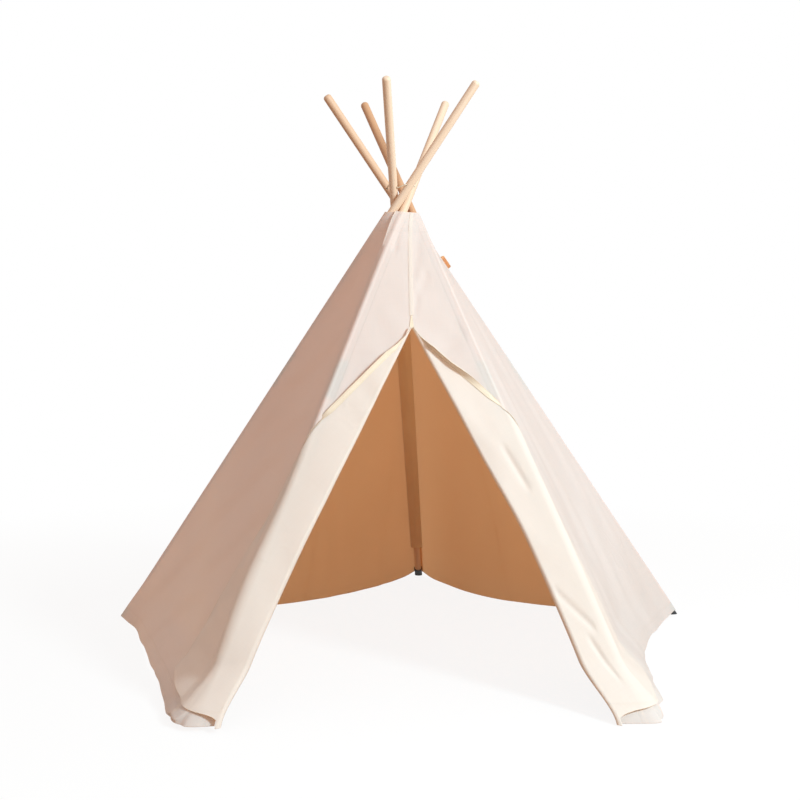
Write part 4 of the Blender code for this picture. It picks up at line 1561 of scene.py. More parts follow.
@dataclass
class DoorFlaps:
    """Both door flaps, turned back round the front poles, with tape on their free edges."""

    sewing: Sewing
    maps: dict[str, CanvasMap]
    drape: Drape
    hems: dict[str, Hem]
    fold_at_hem: float = 0.043
    loop_top: float = 0.010
    loop_share: float = 0.18
    start_share: float = 0.004
    fold_gap: float = 0.0012
    ridge_spread: float = 0.026
    wrap_start: float = 0.016
    roll_zone: float = 0.020
    roll_bend: float = 0.0055
    roll_margin: float = 0.016
    edge_rise: float = 0.0032
    edge_reach: float = 0.034
    valley_lift: float = 0.0042
    part_gap: float = 0.0008
    arch: float = 0.20
    tape_width: float = 0.0182
    tape_thickness: float = 0.0009
    tape_gap: float = 0.0006
    row_count: int = 120
    tape_rows: int = 90
    ridge_share: float = 0.8
    wrap_far: float = 0.2
    wrap_lift: float = 0.005
    keep: float = 0.2
    doors: tuple[Door, ...] = (
        Door("left", "front_left", 0.625, 0.031, 0.010, 0.40, 0.012, 0.024, 0.262, 0.055, 1.5,
             0.0052, 0.017, 0.23, 0.15, 0.058, 0.008, 0.55),
        Door("right", "front_right", 0.655, 0.024, 0.034, 0.42, 0.012, 0.018, 0.262, 0.055, 1.4,
             0.0105, 0.0045, 0.35, 0.25, 0.050, 0.003, 1.45),
    )

    def canvas_of(self, door: Door) -> CanvasMap:
        """The canvas round a door's pole."""
        return self.maps[door.pole]

    def half_front(self, canvas: CanvasMap) -> float:
        """The way from the seam to the middle of the front face at the slit's top."""
        return -canvas.reach(canvas.middles, 0, canvas.cover.slit_top)

    def fold_loop(self, door: Door, share: float) -> float:
        """How far the flap stands off the canvas at its fold."""
        sizes = (self.loop_top, door.loop_upper, door.loop_hem)
        return float(np.interp(share, (0, self.loop_share, 1), sizes))

    def root(self, door: Door, share: float) -> tuple[float, float]:
        """The distance and height where the canvas turns into the fold.

        Args:
            door: The door.
            share: How far down the flap.

        Returns:
            The two.
        """
        canvas = self.canvas_of(door)
        cover = canvas.cover
        height = mix(cover.slit_top, cover.hem, share)
        outer = mix(self.half_front(canvas), self.fold_at_hem, share)
        outer += door.fold_near * math.exp(-(height - cover.hem) / 0.055) * share
        outer += door.fold_far * smooth(1 - height / door.far_top)
        return self.fold_loop(door, share) / 2 - outer, height

    def door_of(self, canvas: CanvasMap) -> Door:
        """The door that folds round a canvas's pole."""
        return next(door for door in self.doors if door.pole == canvas.pole.name)

    def panel_ends(self, canvas: CanvasMap, height: float) -> tuple[float, float]:
        """Where a front half starts and ends beside the door at a height.

        Args:
            canvas: The canvas round a front pole.
            height: The height.

        Returns:
            The two distances.
        """
        cover = canvas.cover
        share = (cover.slit_top - height) / (cover.slit_top - cover.hem)
        end = self.root(self.door_of(canvas), share)[0] + self.fold_gap
        start = max(canvas.reach(canvas.tangents, 0, height), end / 2)
        return start, end

    def turned(self, door: Door, height: float) -> float:
        """How far the free edge is rolled under at a height, from 0 to 1."""
        return smooth((door.ridge_height + 0.026 - height) / 0.056)

    def edge(self, door: Door, share: float) -> tuple[float, float]:
        """The distance and height of the flap's free edge, rolled flat.

        Args:
            door: The door.
            share: How far down the flap.

        Returns:
            The two.
        """
        canvas = self.canvas_of(door)
        top = canvas.cover.slit_top
        height = mix(top, door.corner_height, share)
        if height > door.ridge_height:
            part = (top - height) / (top - door.ridge_height)
            early = min(part / 0.3, 1)
            reach = mix(-self.half_front(canvas), 0, part - self.arch * early * (1 - early))
        else:
            part = (door.ridge_height - height) / (door.ridge_height - door.corner_height)
            reach = door.corner_reach * part ** door.sweep
        return reach + self.roll_margin * self.turned(door, height), height

    def share_at(self, door: Door, reach: float) -> float:
        """How far down the flap its free edge comes to a distance from the seam."""
        shares = np.linspace(0, 1, 800)
        return float(np.interp(reach, [self.edge(door, share)[0] for share in shares], shares))

    def roll_angle(self, door: Door, share: float) -> float:
        """How far the free edge turns: outwards in front of the pole, then under round it.

        Args:
            door: The door.
            share: How far down the flap.

        Returns:
            The angle of its roll.
        """
        top = self.canvas_of(door).cover.slit_top
        height = self.edge(door, share)[1]
        part = (top - height) / (top - door.ridge_height)
        outwards = door.curl * smooth(part / 0.10) * smooth((0.82 - part) / 0.34)
        return math.pi * self.turned(door, height) - outwards

    def lift(self, door: Door, distances: np.ndarray, share: float) -> np.ndarray:
        """How far the turned-back flap lies off the cover along one row.

        Args:
            door: The door.
            distances: Where the points lie.
            share: How far down the flap the row is.

        Returns:
            One lift for each point.
        """
        start, height = self.root(door, share)
        reach = self.edge(door, share)[0]
        away = (height - door.puff_height) / door.puff_width
        ridge = door.puff_least + door.puff * np.exp(-away ** 2)
        front = mix(self.fold_loop(door, share), ridge, np.clip((distances - start) / -start, 0, 1))
        side = mix(ridge, self.valley_lift, ease(distances / door.valley))
        beyond = np.clip((distances - door.valley) / max(reach - door.valley, 0.01), 0, 1)
        side += door.swell * np.sin(math.pi * beyond) * smooth((reach - door.valley) / 0.08)
        rise = self.edge_rise * self.turned(door, self.edge(door, share)[1])
        close = ease(1 - (reach - distances) / self.edge_reach)
        return np.where(distances < 0, front, side) + rise * close

    def profile(
            self, door: Door, share: float, distances: np.ndarray, extra: float,
    ) -> tuple[np.ndarray, np.ndarray]:
        """A row's points across the flap, with its free edge rolled.

        Args:
            door: The door that the flap belongs to.
            share: How far down the flap the row is.
            distances: Where the points lie from the seam, measured with the edge flat.
            extra: How far above the flap they lie.

        Returns:
            Their distances and their lifts.
        """
        reach = self.edge(door, share)[0]
        angle = self.roll_angle(door, share)
        zone = min(self.roll_zone, max(reach - self.root(door, share)[0], 0.001) * 0.8)
        travel = np.linspace(0, zone, 80)
        turns = angle * np.clip(travel / min(self.roll_bend, zone / 2), 0, 1)
        ahead = np.concatenate([[0], np.cumsum(np.cos(turns[1:]) * np.diff(travel))])
        down = np.concatenate([[0], np.cumsum(np.sin(turns[1:]) * np.diff(travel))])
        into = np.clip(distances - (reach - zone), 0, zone)
        turn = np.interp(into, travel, turns)
        flat = np.minimum(distances, reach - zone) + np.interp(into, travel, ahead)
        base = self.lift(door, flat, share) - np.interp(into, travel, down)
        return flat + extra * np.sin(turn), base + extra * np.cos(turn)

    def points(
            self, door: Door, share: float, distances: np.ndarray, extra: float = 0.0,
    ) -> np.ndarray:
        """Points of the turned-back flap along one row.

        Args:
            door: The door that the flap belongs to.
            share: How far down the flap the row is.
            distances: Where its points lie from the pole's seam, measured with the edge flat.
            extra: How far above the flap they lie.

        Returns:
            One row of points.
        """
        canvas = self.canvas_of(door)
        hem = self.hems[door.pole]
        start, height = self.root(door, share)
        reach, edge_height = self.edge(door, share)
        places, lifts = self.profile(door, share, distances, extra)
        part = np.clip((places - start) / (reach - start), 0, 1)
        bend = mix(1.0, 0.3, smooth((share - 0.82) / 0.18))
        heights = hem.settle(places, mix(height, edge_height, part ** bend))
        lifts = lifts + self.drape.lift(canvas, heights, places)
        lifts = lifts + np.maximum(hem.lift(places, heights), 0)
        return hem.ground(canvas.lay(heights, places, lifts), heights)

    def loop(self, door: Door, share: float, steps: int = 20) -> np.ndarray:
        """The half turn of the fold, off the canvas and back over it.

        Args:
            door: The door.
            share: How far down the flap.
            steps: How many parts the turn has.

        Returns:
            The points in order.
        """
        canvas = self.canvas_of(door)
        hem = self.hems[door.pole]
        start, height = self.root(door, share)
        height = float(hem.settle(np.array([start]), np.array([height]))[0])
        base = self.drape.lift(canvas, np.array([height]), np.array([start]))[0]
        base += max(float(hem.lift(np.array([start]), np.array([height]))[0]), 0)
        spots = canvas.lay(height, [start - 0.002, start + 0.002, start], base)
        run = (spots[1] - spots[0]) / np.linalg.norm(spots[1] - spots[0])
        normal = canvas.lay(height, [start], base + 1)[0] - spots[2]
        radius = self.fold_loop(door, share) / 2
        angles = np.linspace(0, math.pi, steps + 1)[:, None]
        centre = spots[2] + normal * radius
        made = centre - normal * radius * np.cos(angles) - run * radius * np.sin(angles)
        return hem.ground(made, np.full(len(made), height))

    def build(self) -> None:
        """Makes each flap in three parts, and the tape along each."""
        for door in self.doors:
            for make in (self.flap, self.tape):
                for part, low, high in zip(Part, self.turns(door), self.turns(door)[1:]):
                    make(door, part, low, high)

    def turns(self, door: Door) -> tuple[float, ...]:
        """The shares down the flap at which its three parts start, and its end."""
        starts = (self.share_at(door, reach) for reach in (-self.ridge_spread, self.wrap_start))
        return self.start_share, *starts, 1.0

    def marks(self, grid: np.ndarray) -> np.ndarray:
        """Sewing marks that keep the hem's stitches and leave out the seams'."""
        far = np.full(grid.shape[:2], 0.5)
        return np.stack([far, grid[:, :, 2]], axis=2)

    def shares_between(self, low: float, high: float, count: int) -> np.ndarray:
        """Shares down the flap, closer together at both ends."""
        return mix(low, high, Rows.ends_close(count))

    def across(self, start: float, end: float, count: int) -> np.ndarray:
        """Distances along a row, close together where the free edge may roll."""
        turn = end - min(self.roll_zone, (end - start) * 0.5)
        return np.concatenate([np.linspace(start, turn, count)[:-1], np.linspace(turn, end, 15)])

    def fold_line(self, door: Door) -> tuple[Vector, Vector]:
        """A point on the fold and its direction, from the joint that the flap turns on."""
        joint = next(j for j in frame["joints"] if j["name"] == f"{door.side}_door_turn")
        return Vector(joint["pos_m"]), Vector(joint["axis"]).normalized()

    def body_of(self, door: Door, part: Part) -> str | None:
        """The body that a part rides, or None for the ridge part, which rides none."""
        return {Part.STRIP: f"{door.side}_door", Part.WRAP: f"{door.side}_door_wrap"}.get(part)

    def move(self, obj: bpy.types.Object, door: Door, part: Part) -> None:
        """Bakes the ridge part's place into its mesh, and gives any other part a mesh of its own.

        Args:
            obj: The piece of flap or tape.
            door: Its door.
            part: The part of the flap that it is in.
        """
        canvas = self.canvas_of(door)
        height = door.ridge_height / 2
        if part is Part.RIDGE:
            ends = canvas.lay(height, [-self.ridge_spread, self.wrap_start], door.puff_least)
            run, start = Vector(ends[1] - ends[0]), Vector(ends[0])
            across = canvas.pole.across(run)
            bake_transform(obj)
            return
        if part is Part.STRIP:
            anchor, line = self.fold_line(door)
            normal = canvas.cover.face_normal(canvas.pole, canvas.first, canvas.cover.slit_top)
            axis = line.cross(normal)
        else:
            anchor, far = canvas.lay(height, [self.wrap_start, self.wrap_far], self.wrap_lift)
            axis = canvas.pole.across(Vector(far - anchor))
        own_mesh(obj)

    def row(self, door: Door, part: Part, share: float) -> np.ndarray:
        """The points of one part of a flap along one row.

        Args:
            door: The door that the flap belongs to.
            part: The part of the flap.
            share: How far down the flap the row is.

        Returns:
            One row of points.
        """
        start, reach = self.root(door, share)[0], self.edge(door, share)[0]
        ridge = max(-self.ridge_spread, start * self.ridge_share)
        if part is Part.WRAP:
            return self.points(door, share, self.across(self.wrap_start, reach, 30))
        if part is Part.RIDGE:
            return self.points(door, share, self.across(ridge, min(reach, self.wrap_start), 14))
        front = self.across(start, min(reach, ridge), 16)[1:]
        return np.concatenate([self.loop(door, share), self.points(door, share, front)])

    def flap(self, door: Door, part: Part, low: float, high: float) -> None:
        """One part of a flap: the fold and what hangs before the pole, the ridge, or the wrap.

        Args:
            door: The door that the flap belongs to.
            part: The part of the flap.
            low: The share down the flap at which the part starts.
            high: The share at which its edge leaves it, which only the tape needs.
        """
        first = low if part is Part.STRIP else low + self.part_gap
        shares = self.shares_between(first, 1, self.row_count)
        grid = np.array([self.row(door, part, share) for share in shares])[::-1]
        front = f"{door.side}_door_flap"
        nodes = {Part.STRIP: (front, f"front_{door.side}_panel"), Part.WRAP: (front + "_wrap",)}
        obj = self.sewing.piece(
            f"{door.side}_flap_{part.value}", grid, self.marks(grid), body=self.body_of(door, part),
            nodes=nodes.get(part, (front,)), hold=Hold.FOLDED, rests_on=(f"{door.pole}_seam",))
        self.move(obj, door, part)

    def tape(self, door: Door, part: Part, low: float, high: float) -> None:
        """The tape along one part of the free edge.

        Args:
            door: The door that the flap belongs to.
            part: The part of the flap that it is sewn to.
            low, high: The shares down the flap between which it lies.
        """
        extra = self.sewing.cover.cloth / 2 + self.tape_gap + self.tape_thickness / 2
        grid, marks = [], []
        length = 0.0
        for share in np.linspace(low, high, self.tape_rows):
            reach = self.edge(door, share)[0]
            wide = min(self.tape_width, (reach - self.root(door, share)[0]) * self.ridge_share)
            distances = np.linspace(reach - wide, reach, 15)
            row = self.points(door, share, distances, extra)
            if grid:
                length += float(np.linalg.norm(row[-1] - grid[-1][-1]))
            grid.append(row)
            marks.append(np.stack([reach - distances, np.full(len(distances), length)], axis=1))
        node = f"{door.side}_door_binding" + ("_wrap" if part is Part.WRAP else "")
        obj = self.sewing.piece(
            f"{door.side}_tape_{part.value}", np.array(grid)[::-1], np.array(marks)[::-1],
            body=self.body_of(door, part), nodes=(node,), hold=Hold.FOLDED,
            rests_on=(f"{door.side}_flap_{part.value}",), outer=self.sewing.finishes.tape,
            slot=Slot.TAPE, thickness=self.tape_thickness)
        self.move(obj, door, part)


@dataclass
class Trims:
    """Small sewn pieces: the felled seam above the door, its bar tack, and a tab on one pole."""

    sewing: Sewing
    maps: dict[str, CanvasMap]
    faces: CanvasFaces
    seam_width: float = 0.0106
    seam_lift: float = 0.0013
    stitch_reach: float = 0.0030
    tack_top: float = 0.878
    tack_bottom: float = 0.846
    tack_widths: tuple[float, float] = (0.0125, 0.0035)
    tack_lift: float = 0.0024
    tab_heights: tuple[float, float] = (1.004, 1.032)
    tab_reach: float = 0.012
    tab_width: float = 0.004

    def build(self) -> None:
        """Makes the three."""
        self.front_seam()
        self.bar_tack()
        self.tab()

    def on_middle(self, heights: np.ndarray, offsets: np.ndarray, lifts: np.ndarray) -> np.ndarray:
        """Points beside the front's middle, laid on the left half's canvas.

        Args:
            heights: The height of each row.
            offsets: How far each point lies from the middle, one row for every height.
            lifts: How far each column stands off the canvas.

        Returns:
            The rows of points.
        """
        canvas, rows = self.maps["front_left"], []
        for height, offset in zip(heights, offsets):
            middle = canvas.reach(canvas.middles, 0, height)
            level = np.full(len(offset), height)
            drape = self.faces.drape.lift(canvas, level, np.full(len(offset), middle))
            flat = canvas.lay(level, np.full(len(offset), middle), drape + lifts)
            run = canvas.lay(height, [middle, middle + 0.004], 0)
            side = (run[1] - run[0]) / np.linalg.norm(run[1] - run[0])
            rows.append(flat + offset[:, None] * side)
        return np.array(rows)

    def flat_piece(self, name: str, heights: np.ndarray, offsets: np.ndarray, lifts: np.ndarray,
                   across: np.ndarray, outer: bpy.types.Material, slot: Slot) -> None:
        """A narrow piece on the front's middle.

        Args:
            name: The piece's name.
            heights, offsets, lifts: Where its points lie.
            across: The first sewing mark of every point.
            outer: Its finish.
            slot: The record's slot for the finish.
        """
        grid = self.on_middle(heights, offsets, lifts)
        marks = np.stack([across, np.broadcast_to(heights[:, None], across.shape)], axis=2)
        canvas = self.maps["front_left"]
        obj = self.sewing.piece(
            name, grid, marks, body=canvas.pole.body, nodes=("front_left_panel",),
            rests_on=("front_left_half_to_front_right",), outer=outer, slot=slot, thickness=0.0008)
        self.faces.gather(obj, canvas, 0)

    def front_seam(self) -> None:
        """The felled seam between the front halves, with two rows of stitches."""
        cover = self.sewing.cover
        heights = np.linspace(self.tack_top + 0.001, cover.top_edge - 0.002, 60)
        across = np.linspace(-1, 1, 13) * self.seam_width / 2
        offsets = np.broadcast_to(across, (len(heights), len(across)))
        lifts = self.seam_lift + 0.0005 * (1 - (across / across[-1]) ** 4)
        marks = np.abs(offsets) - self.stitch_reach + 0.012
        self.flat_piece("front_seam", heights, offsets, lifts, marks,
                        self.sewing.finishes.canvas, Slot.CANVAS)

    def bar_tack(self) -> None:
        """The tape's joined ends over the top of the slit, held by a bar tack."""
        heights = np.linspace(self.tack_bottom, self.tack_top, 14)
        widths = np.linspace(self.tack_widths[0], self.tack_widths[1], 14)
        offsets = widths[:, None] * np.linspace(-0.5, 0.5, 9)[None, :]
        lifts = np.full(9, self.tack_lift)
        self.flat_piece("slit_tack", heights, offsets, lifts, np.abs(offsets) + 0.002,
                        self.sewing.finishes.tape, Slot.TAPE)

    def tab(self) -> None:
        """A folded tab of tape caught in the right pole's seam."""
        canvas = self.maps["right"]
        turns = np.linspace(0, math.pi, 17)
        rows, marks = [], []
        for height in np.linspace(*self.tab_heights, 12):
            level = np.full(len(turns), height)
            distances = -self.tab_width * np.cos(turns) + 0.002
            lifts = 0.0022 + self.tab_reach * np.sin(turns) ** 0.6
            rows.append(canvas.lay(level, distances, lifts))
            marks.append(np.stack([0.004 + np.abs(distances), level], axis=1))
        # the tab takes the inner face's finish, whose warm colour is painted shade
        self.sewing.piece(
            "right_pole_tab", np.array(rows), np.array(marks), body=canvas.pole.body,
            nodes=("back_right_panel",), hold=Hold.FOLDED, rests_on=("right_seam",),
            outer=self.sewing.finishes.inside, slot=Slot.TAPE, thickness=0.0012)


@dataclass
class WoodenPoles:
    """Five two-part pine poles with rounded tips and drilled cord holes."""

    cover: Cover
    finishes: Finishes
    reach: float = 1.80
    joint: float = 0.88
    radius: float = 0.011
    tip_rounding: float = 0.008
    foot_sole: float = 0.012
    fit_gap: float = 0.0003
    edge_bevel: float = 0.0008
    sides: int = 48
    hole: float = 0.0052
    cord_rise: float = 0.046
    grain_shift: tuple[float, float, float] = (0.31, 0.17, 0.53)
    grain_jump: float = 0.9
    # painted shade: how far each pole's pine is darkened towards the shade colour
    pole_shades: dict[str, float] = field(default_factory=lambda: {
        "back": 0.0, "right": 0.55, "front_right": 0.95, "front_left": 0.15, "left": 0.0})

    def build(self) -> None:
        """Makes both lengths of every pole and finishes the ferrules."""
        for place, pole in enumerate(self.cover.poles.values()):
            end = self.joint - self.fit_gap
            self.length(pole, "lower", self.foot_sole, end, self.edge_bevel, place)
            self.length(pole, "upper", self.joint, self.reach, self.tip_rounding, place)
            ferrule = frame["nodes"][f"{pole.name}_pole_ferrule"]
            ferrule.data.materials.clear()
            ferrule.data.materials.append(self.finishes.steel)

    def length(
            self, pole: Pole, part: str, start: float, end: float, rounding: float, place: int,
    ) -> None:
        """One length of pole, turned, rounded at its upper end and drilled.

        Args:
            pole: The pole's axis.
            part: Whether it is the lower or the upper length.
            start, end: Where it begins and ends along the axis.
            rounding: The rounding of its upper edge.
            place: The pole's place in the ring, which shifts its grain.
        """
        Bench.clear()
        bpy.ops.mesh.primitive_cylinder_add(
            vertices=self.sides, radius=self.radius, depth=end - start,
            location=(0, 0, (start + end) / 2))
        obj = bpy.context.object
        obj.name = obj.data.name = f"{pole.name}_{part}_length"
        Bench.settle(obj, Matrix.Identity(4))
        Bench.pick(obj, "EDGE", lambda edge: min(
            obj.data.vertices[i].co.z for i in edge.vertices) > end - self.fit_gap)
        bpy.ops.mesh.bevel(offset=rounding, segments=8 if part == "upper" else 2, affect="EDGES")
        Bench.close()
        if part == "upper":
            self.drill(obj, pole)
        shift = place * np.array(self.grain_shift)
        shift[2] += self.grain_jump if part == "upper" else 0
        spots = Bench.coordinates(obj)
        Bench.store(obj, "grain", spots + shift)
        Bench.store(obj, "tone", np.full(spots.shape, self.pole_shades[pole.name]))
        Bench.settle(obj, pole.frame(0))
        Bench.only(obj)
        bpy.ops.object.shade_smooth_by_angle(angle=math.radians(40))
        Bench.dress(obj, self.finishes.pine, pole, f"{pole.name}_pole_{part}", Slot.PINE)

    def cord_place(self, pole: Pole) -> tuple[Vector, Vector]:
        """Where the cord passes through a pole, and the direction of its hole.

        Args:
            pole: The pole.

        Returns:
            The middle of the hole and its direction.
        """
        before, after = self.cover.neighbours(pole)
        height = self.cover.lash_height + self.cord_rise
        return pole.at(height), pole.across(after.at(height) - before.at(height))

    def drill(self, obj: bpy.types.Object, pole: Pole) -> None:
        """Drills the cord's hole through a length that still stands upright.

        Args:
            obj: The length.
            pole: Its pole.
        """
        centre, direction = self.cord_place(pole)
        upright = pole.frame(0).inverted()
        turn = UP.rotation_difference((upright.to_3x3() @ direction)).to_matrix().to_4x4()
        Bench.clear()
        bpy.ops.mesh.primitive_cylinder_add(
            vertices=24, radius=self.hole / 2, depth=self.radius * 4)
        cutter = bpy.context.object
        cutter.data.transform(Matrix.Translation(upright @ centre) @ turn)
        cut = obj.modifiers.new("cord_hole", "BOOLEAN")
        cut.operation, cut.solver, cut.object = "DIFFERENCE", "EXACT", cutter
        Bench.apply_all(obj)
        bpy.data.objects.remove(cutter)


@dataclass
class RubberFeet:
    """Black rubber caps with a rolled rim, trimmed level on the floor."""

    cover: Cover
    finishes: Finishes
    radius: float = 0.0122
    bottom: float = -0.012
    top: float = 0.034
    bead: float = 0.0012
    bead_height: float = 0.004
    grooves: tuple[float, float, float] = (0.012, 0.015, 0.018)
    mouth: float = 0.0113
    mouth_depth: float = 0.004
    sides: int = 40

    def build(self) -> None:
        """Makes a cap for every pole."""
        for pole in self.cover.poles.values():
            self.cap(pole)

    def cap(self, pole: Pole) -> None:
        """One cap: a cup with a bead round its mouth and grooves above its sole.

        Args:
            pole: The pole that it is on.
        """
        Bench.clear()
        bpy.ops.mesh.primitive_cylinder_add(
            vertices=self.sides, radius=self.radius, depth=self.top - self.bottom,
            location=(0, 0, (self.top + self.bottom) / 2))
        obj = bpy.context.object
        obj.name = obj.data.name = f"{pole.name}_rubber_cap"
        Bench.settle(obj, Matrix.Identity(4))
        bpy.ops.object.mode_set(mode="EDIT")
        for height in (self.top - self.bead_height, *self.grooves):
            bpy.ops.mesh.select_all(action="SELECT")
            bpy.ops.mesh.bisect(plane_co=(0, 0, height), plane_no=UP)
        bpy.ops.object.mode_set(mode="OBJECT")
        for vertex in obj.data.vertices:
            if abs(vertex.co.z - self.grooves[1]) < 0.0001:
                vertex.co.xy *= 1 - self.bead / 2 / self.radius
        middle = self.top - self.bead_height / 2
        Bench.pick(obj, "FACE", lambda face: abs(face.center.z - middle) < 0.0005)
        bpy.ops.mesh.extrude_region_shrink_fatten(TRANSFORM_OT_shrink_fatten={"value": self.bead})
        Bench.pick(obj, "FACE", lambda face: (
            face.normal.z > 0.9 and face.center.z > self.top - 0.0001 and len(face.vertices) > 4))
        bpy.ops.mesh.inset(thickness=self.radius - self.mouth)
        bpy.ops.mesh.extrude_region_move(
            TRANSFORM_OT_translate={"value": (0, 0, -self.mouth_depth)})
        bpy.ops.object.mode_set(mode="OBJECT")
        round_off = obj.modifiers.new("soft_edges", "BEVEL")
        round_off.width, round_off.segments, round_off.limit_method = 0.0005, 2, "ANGLE"
        Bench.apply_all(obj)
        Bench.settle(obj, pole.frame(0))
        Bench.only(obj)
        bpy.ops.object.mode_set(mode="EDIT")
        bpy.ops.mesh.select_all(action="SELECT")
        bpy.ops.mesh.bisect(plane_co=(0, 0, 0), plane_no=UP, use_fill=True, clear_inner=True)
        Bench.close()
        bpy.ops.object.shade_smooth_by_angle(angle=math.radians(40))
        Bench.dress(obj, self.finishes.rubber, pole, f"{pole.name}_pole_foot", Slot.RUBBER)


@dataclass
class Lashing:
    """The cord threaded through the poles, in one part to each pole."""

    cover: Cover
    finishes: Finishes
    poles: WoodenPoles
    diameter: float = 0.003
    stand_off: float = 0.004
    strands: int = 3
    lay_length: float = 0.012
    strand_share: float = 0.27

    def build(self) -> None:
        """Makes the five parts of the cord."""
        for pole in self.cover.poles.values():
            self.part(pole)

    def route(self, pole: Pole) -> list[Vector]:
        """The cord's line, from half way to one neighbour, through the pole, to the next.

        Args:
            pole: The pole in the middle.

        Returns:
            Its points in order.
        """
        centre, direction = self.poles.cord_place(pole)
        mouth = self.poles.radius + self.stand_off
        before, after = self.cover.neighbours(pole)
        ends = []
        for other, sign in ((before, -1), (after, 1)):
            spot, heading = self.poles.cord_place(other)
            ends.append((centre + direction * mouth * sign + spot - heading * mouth * sign) / 2)
        hole = [centre + direction * reach for reach in (-mouth, -mouth / 2, 0, mouth / 2, mouth)]
        return [ends[0], *hole, ends[1]]

    def part(self, pole: Pole) -> None:
        """One stretch of three-strand cord.

        Args:
            pole: The pole that it goes through.
        """
        line = np.array([tuple(point) for point in self.route(pole)])
        steps = np.concatenate([[0], np.cumsum(np.linalg.norm(np.diff(line, axis=0), axis=1))])
        along = np.linspace(0, steps[-1], 64)
        centre = np.stack([np.interp(along, steps, line[:, i]) for i in range(3)], axis=1)
        for _ in range(3):
            centre[1:-1] = (centre[:-2] + centre[1:-1] * 2 + centre[2:]) / 4
        runs = unit_rows(np.gradient(centre, axis=0))
        side = unit_rows(np.cross(runs, np.array(pole.axis)))
        up = np.cross(runs, side)
        strand = self.diameter * self.strand_share
        parts = []
        for turn in range(self.strands):
            angle = along / self.lay_length * 2 * math.pi + turn * 2 * math.pi / self.strands
            path = centre + (side * np.cos(angle)[:, None] + up * np.sin(angle)[:, None]) * strand
            curve = bpy.data.curves.new("strand", "CURVE")
            curve.dimensions, curve.bevel_depth, curve.bevel_resolution = "3D", strand, 2
            curve.use_fill_caps = True
            spline = curve.splines.new("POLY")
            spline.points.add(len(path) - 1)
            for spot, point in zip(spline.points, path):
                spot.co = (*point, 1)
            obj = bpy.data.objects.new("strand", curve)
            bpy.context.scene.collection.objects.link(obj)
            parts.append(obj)
        Bench.clear()
        for obj in parts:
            obj.select_set(True)
        bpy.context.view_layer.objects.active = parts[0]
        bpy.ops.object.convert(target="MESH")
        bpy.ops.object.join()
        obj = bpy.context.object
        obj.name = obj.data.name = f"{pole.name}_cord"
        bpy.ops.object.shade_smooth()
        Bench.dress(obj, self.finishes.cord, pole, "lashing_cord", Slot.CORD)


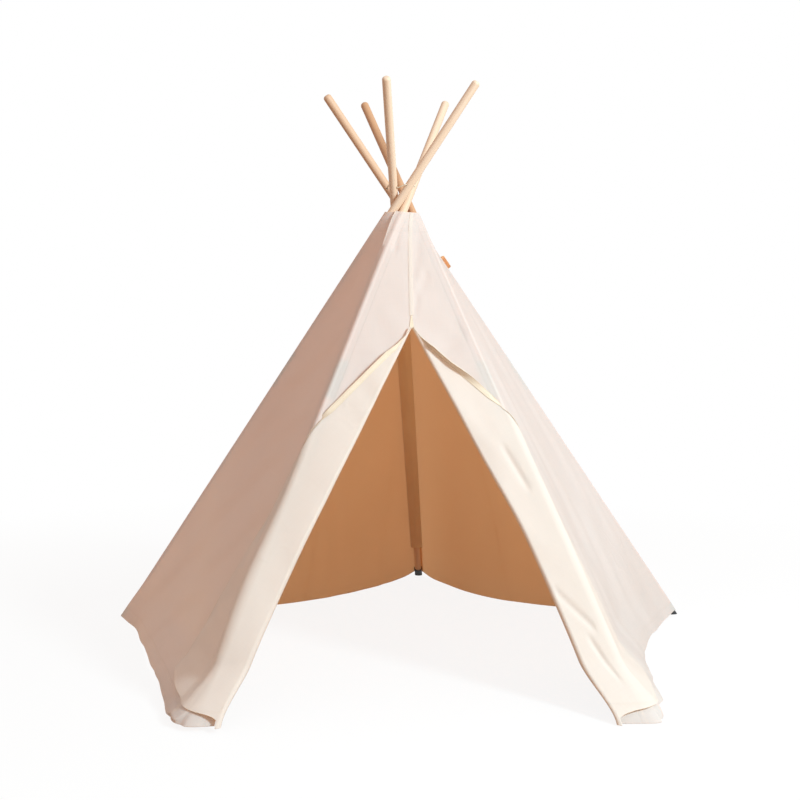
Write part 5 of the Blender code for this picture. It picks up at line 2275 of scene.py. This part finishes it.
@dataclass
class Studio:
    """The camera at the photograph's angle, the lamps, and the pale floor."""

    eye: tuple[float, float, float] = (-0.1324, -3.5094, 0.915)
    yaw: float = -1.81
    pitch: float = 4.33
    roll: float = -0.42
    lens: float = 58.52
    world: tuple[float, float, float] = (0.94, 0.81, 0.755)
    world_strength: float = 0.71
    key_power: float = 218.0
    key_colour: tuple[float, float, float] = (0.71, 0.907, 1.0)
    key_place: tuple[float, float, float] = (2.9, -2.95, 2.7)
    key_aim: tuple[float, float, float] = (0.0, 0.0, 0.6)
    key_size: float = 0.9
    floor_size: float = 30.0
    floor_fade: float = 2.6
    floor_share: float = 0.12
    floor_colour: tuple[float, float, float] = (0.96, 0.94, 0.92)
    floor_bounce: tuple[float, float, float] = (0.40, 0.26, 0.17)

    def build(self) -> None:
        """Sets up the camera, the lamps, the world and the floor."""
        self.camera()
        self.lamps()
        self.backdrop()
        self.floor()
        bpy.context.scene.view_settings.view_transform = "Standard"

    def camera(self) -> None:
        """Places the camera."""
        yaw, pitch, roll = (math.radians(angle) for angle in (self.yaw, self.pitch, self.roll))
        turn = (
            Matrix.Rotation(yaw, 4, "Z") @ Matrix.Rotation(math.pi / 2 - pitch, 4, "X")
            @ Matrix.Rotation(-roll, 4, "Z"))
        data = bpy.data.cameras.new("camera")
        data.sensor_width, data.lens = 36, self.lens
        data.clip_start, data.clip_end = 0.01, 100
        obj = bpy.data.objects.new("camera", data)
        obj.matrix_world = Matrix.Translation(self.eye) @ turn
        bpy.context.scene.collection.objects.link(obj)
        bpy.context.scene.camera = obj

    def lamps(self) -> None:
        """One soft key from the right and front."""
        data = bpy.data.lights.new("key", "AREA")
        data.energy, data.color = self.key_power, self.key_colour
        data.shape, data.size = "DISK", self.key_size
        obj = bpy.data.objects.new("key", data)
        obj.location = self.key_place
        obj.rotation_mode = "QUATERNION"
        away = Vector(self.key_place) - Vector(self.key_aim)
        obj.rotation_quaternion = away.to_track_quat("Z", "Y")
        bpy.context.scene.collection.objects.link(obj)

    def white_to_camera(self, wires: Tree) -> tuple[Socket, Socket]:
        """Masks of the rays that should see plain white.

        Args:
            wires: The wiring helper of the material or world.

        Returns:
            The mask with the rays that cloth scattered, and without them.
        """
        path = wires.add("LightPath").outputs
        seen = wires.maths("ADD", path["Is Camera Ray"], path["Is Glossy Ray"])
        seen = wires.maths("ADD", seen, path["Is Transmission Ray"], clamp=True)
        return seen, wires.maths("SUBTRACT", seen, path["Is Diffuse Ray"], clamp=True)

    def backdrop(self) -> None:
        """Soft even light all round, seen as white."""
        world = bpy.data.worlds.new("studio")
        bpy.context.scene.world = world
        world.use_nodes = True
        wires = Tree(world.node_tree)
        light = world.node_tree.nodes["Background"]
        light.inputs["Color"].default_value = (*self.world, 1)
        light.inputs["Strength"].default_value = self.world_strength
        white = wires.add("Background", {"Color": (1, 1, 1, 1)}).outputs[0]
        seen = self.white_to_camera(wires)[0]
        blend = wires.add("MixShader", {0: seen, 1: light.outputs[0], 2: white}).outputs[0]
        wires.feed(world.node_tree.nodes["World Output"].inputs[0], blend)

    def floor(self) -> None:
        """A pale floor that keeps the tent's soft shadow and fades to the background."""
        Bench.clear()
        bpy.ops.mesh.primitive_plane_add(size=self.floor_size)
        obj = bpy.context.object
        obj.name = "studio_floor"
        made = bpy.data.materials.new("studio_floor")
        made.use_nodes = True
        wires = Tree(made.node_tree)
        made.node_tree.nodes.remove(made.node_tree.nodes["Principled BSDF"])
        seen = self.white_to_camera(wires)[1]
        tint = wires.blend(seen, (*self.floor_bounce, 1), (*self.floor_colour, 1))
        matt = wires.add("BsdfDiffuse", {"Color": tint}).outputs[0]
        glow = wires.add("Emission").outputs[0]
        place = wires.add("TexCoord").outputs["Object"]
        reach = wires.add("VectorMath", {0: place}, operation="LENGTH").outputs["Value"]
        near = wires.spread(
            reach, self.floor_fade * 0.4, self.floor_fade, self.floor_share, 0.0)
        share = wires.maths("MULTIPLY", seen, wires.maths("SUBTRACT", 1.0, near))
        blend = wires.add("MixShader", {0: share, 1: matt, 2: glow}).outputs[0]
        wires.feed(made.node_tree.nodes["Material Output"].inputs[0], blend)
        obj.data.materials.append(made)


def main() -> None:
    """Builds the tent round its frame, then the studio."""
    studio = Studio()
    studio.build()
    cover = Cover()
    finishes = Finishes()
    maps = {}
    for pole in cover.poles.values():
        first, second = cover.neighbours(pole)
        if pole.name in ("front_right", "right"):
            first, second = second, first
        maps[pole.name] = CanvasMap(cover, pole, first, second)
    hems = {
        "back": Hem(bare=0.85),
        "right": Hem(bare=0.7),
        "left": Hem(flare=0.006, flare_reach=0.18),
        "front_left": Hem(
            drop=0.005, flare=0.013, flare_place=0.05, flare_reach=0.20, curl=0.008,
            crease=((-0.01, 0.036), (0.0, 0.032), (0.017, 0.017), (0.05, 0.020), (0.10, 0.010))),
        "front_right": Hem(
            flare=0.006, flare_place=0.05, flare_reach=0.09, curl=0.012,
            crease=((0.0, 0.031), (0.02, 0.032), (0.08, 0.035), (0.16, 0.035))),
    }
    sewing = Sewing(cover, finishes)
    rows, drape = Rows(cover), Drape()
    flaps = DoorFlaps(sewing, maps, drape, hems)
    faces = CanvasFaces(sewing, maps, drape, rows, hems)
    poles = WoodenPoles(cover, finishes)
    poles.build()
    RubberFeet(cover, finishes).build()
    Lashing(cover, finishes, poles).build()
    faces.build(flaps)
    SeamCovers(sewing, maps, rows, faces).build()
    Trims(sewing, maps, faces).build()
    Sleeves(sewing, maps).build()
    flaps.build()


if __name__ == "__main__":
    main()
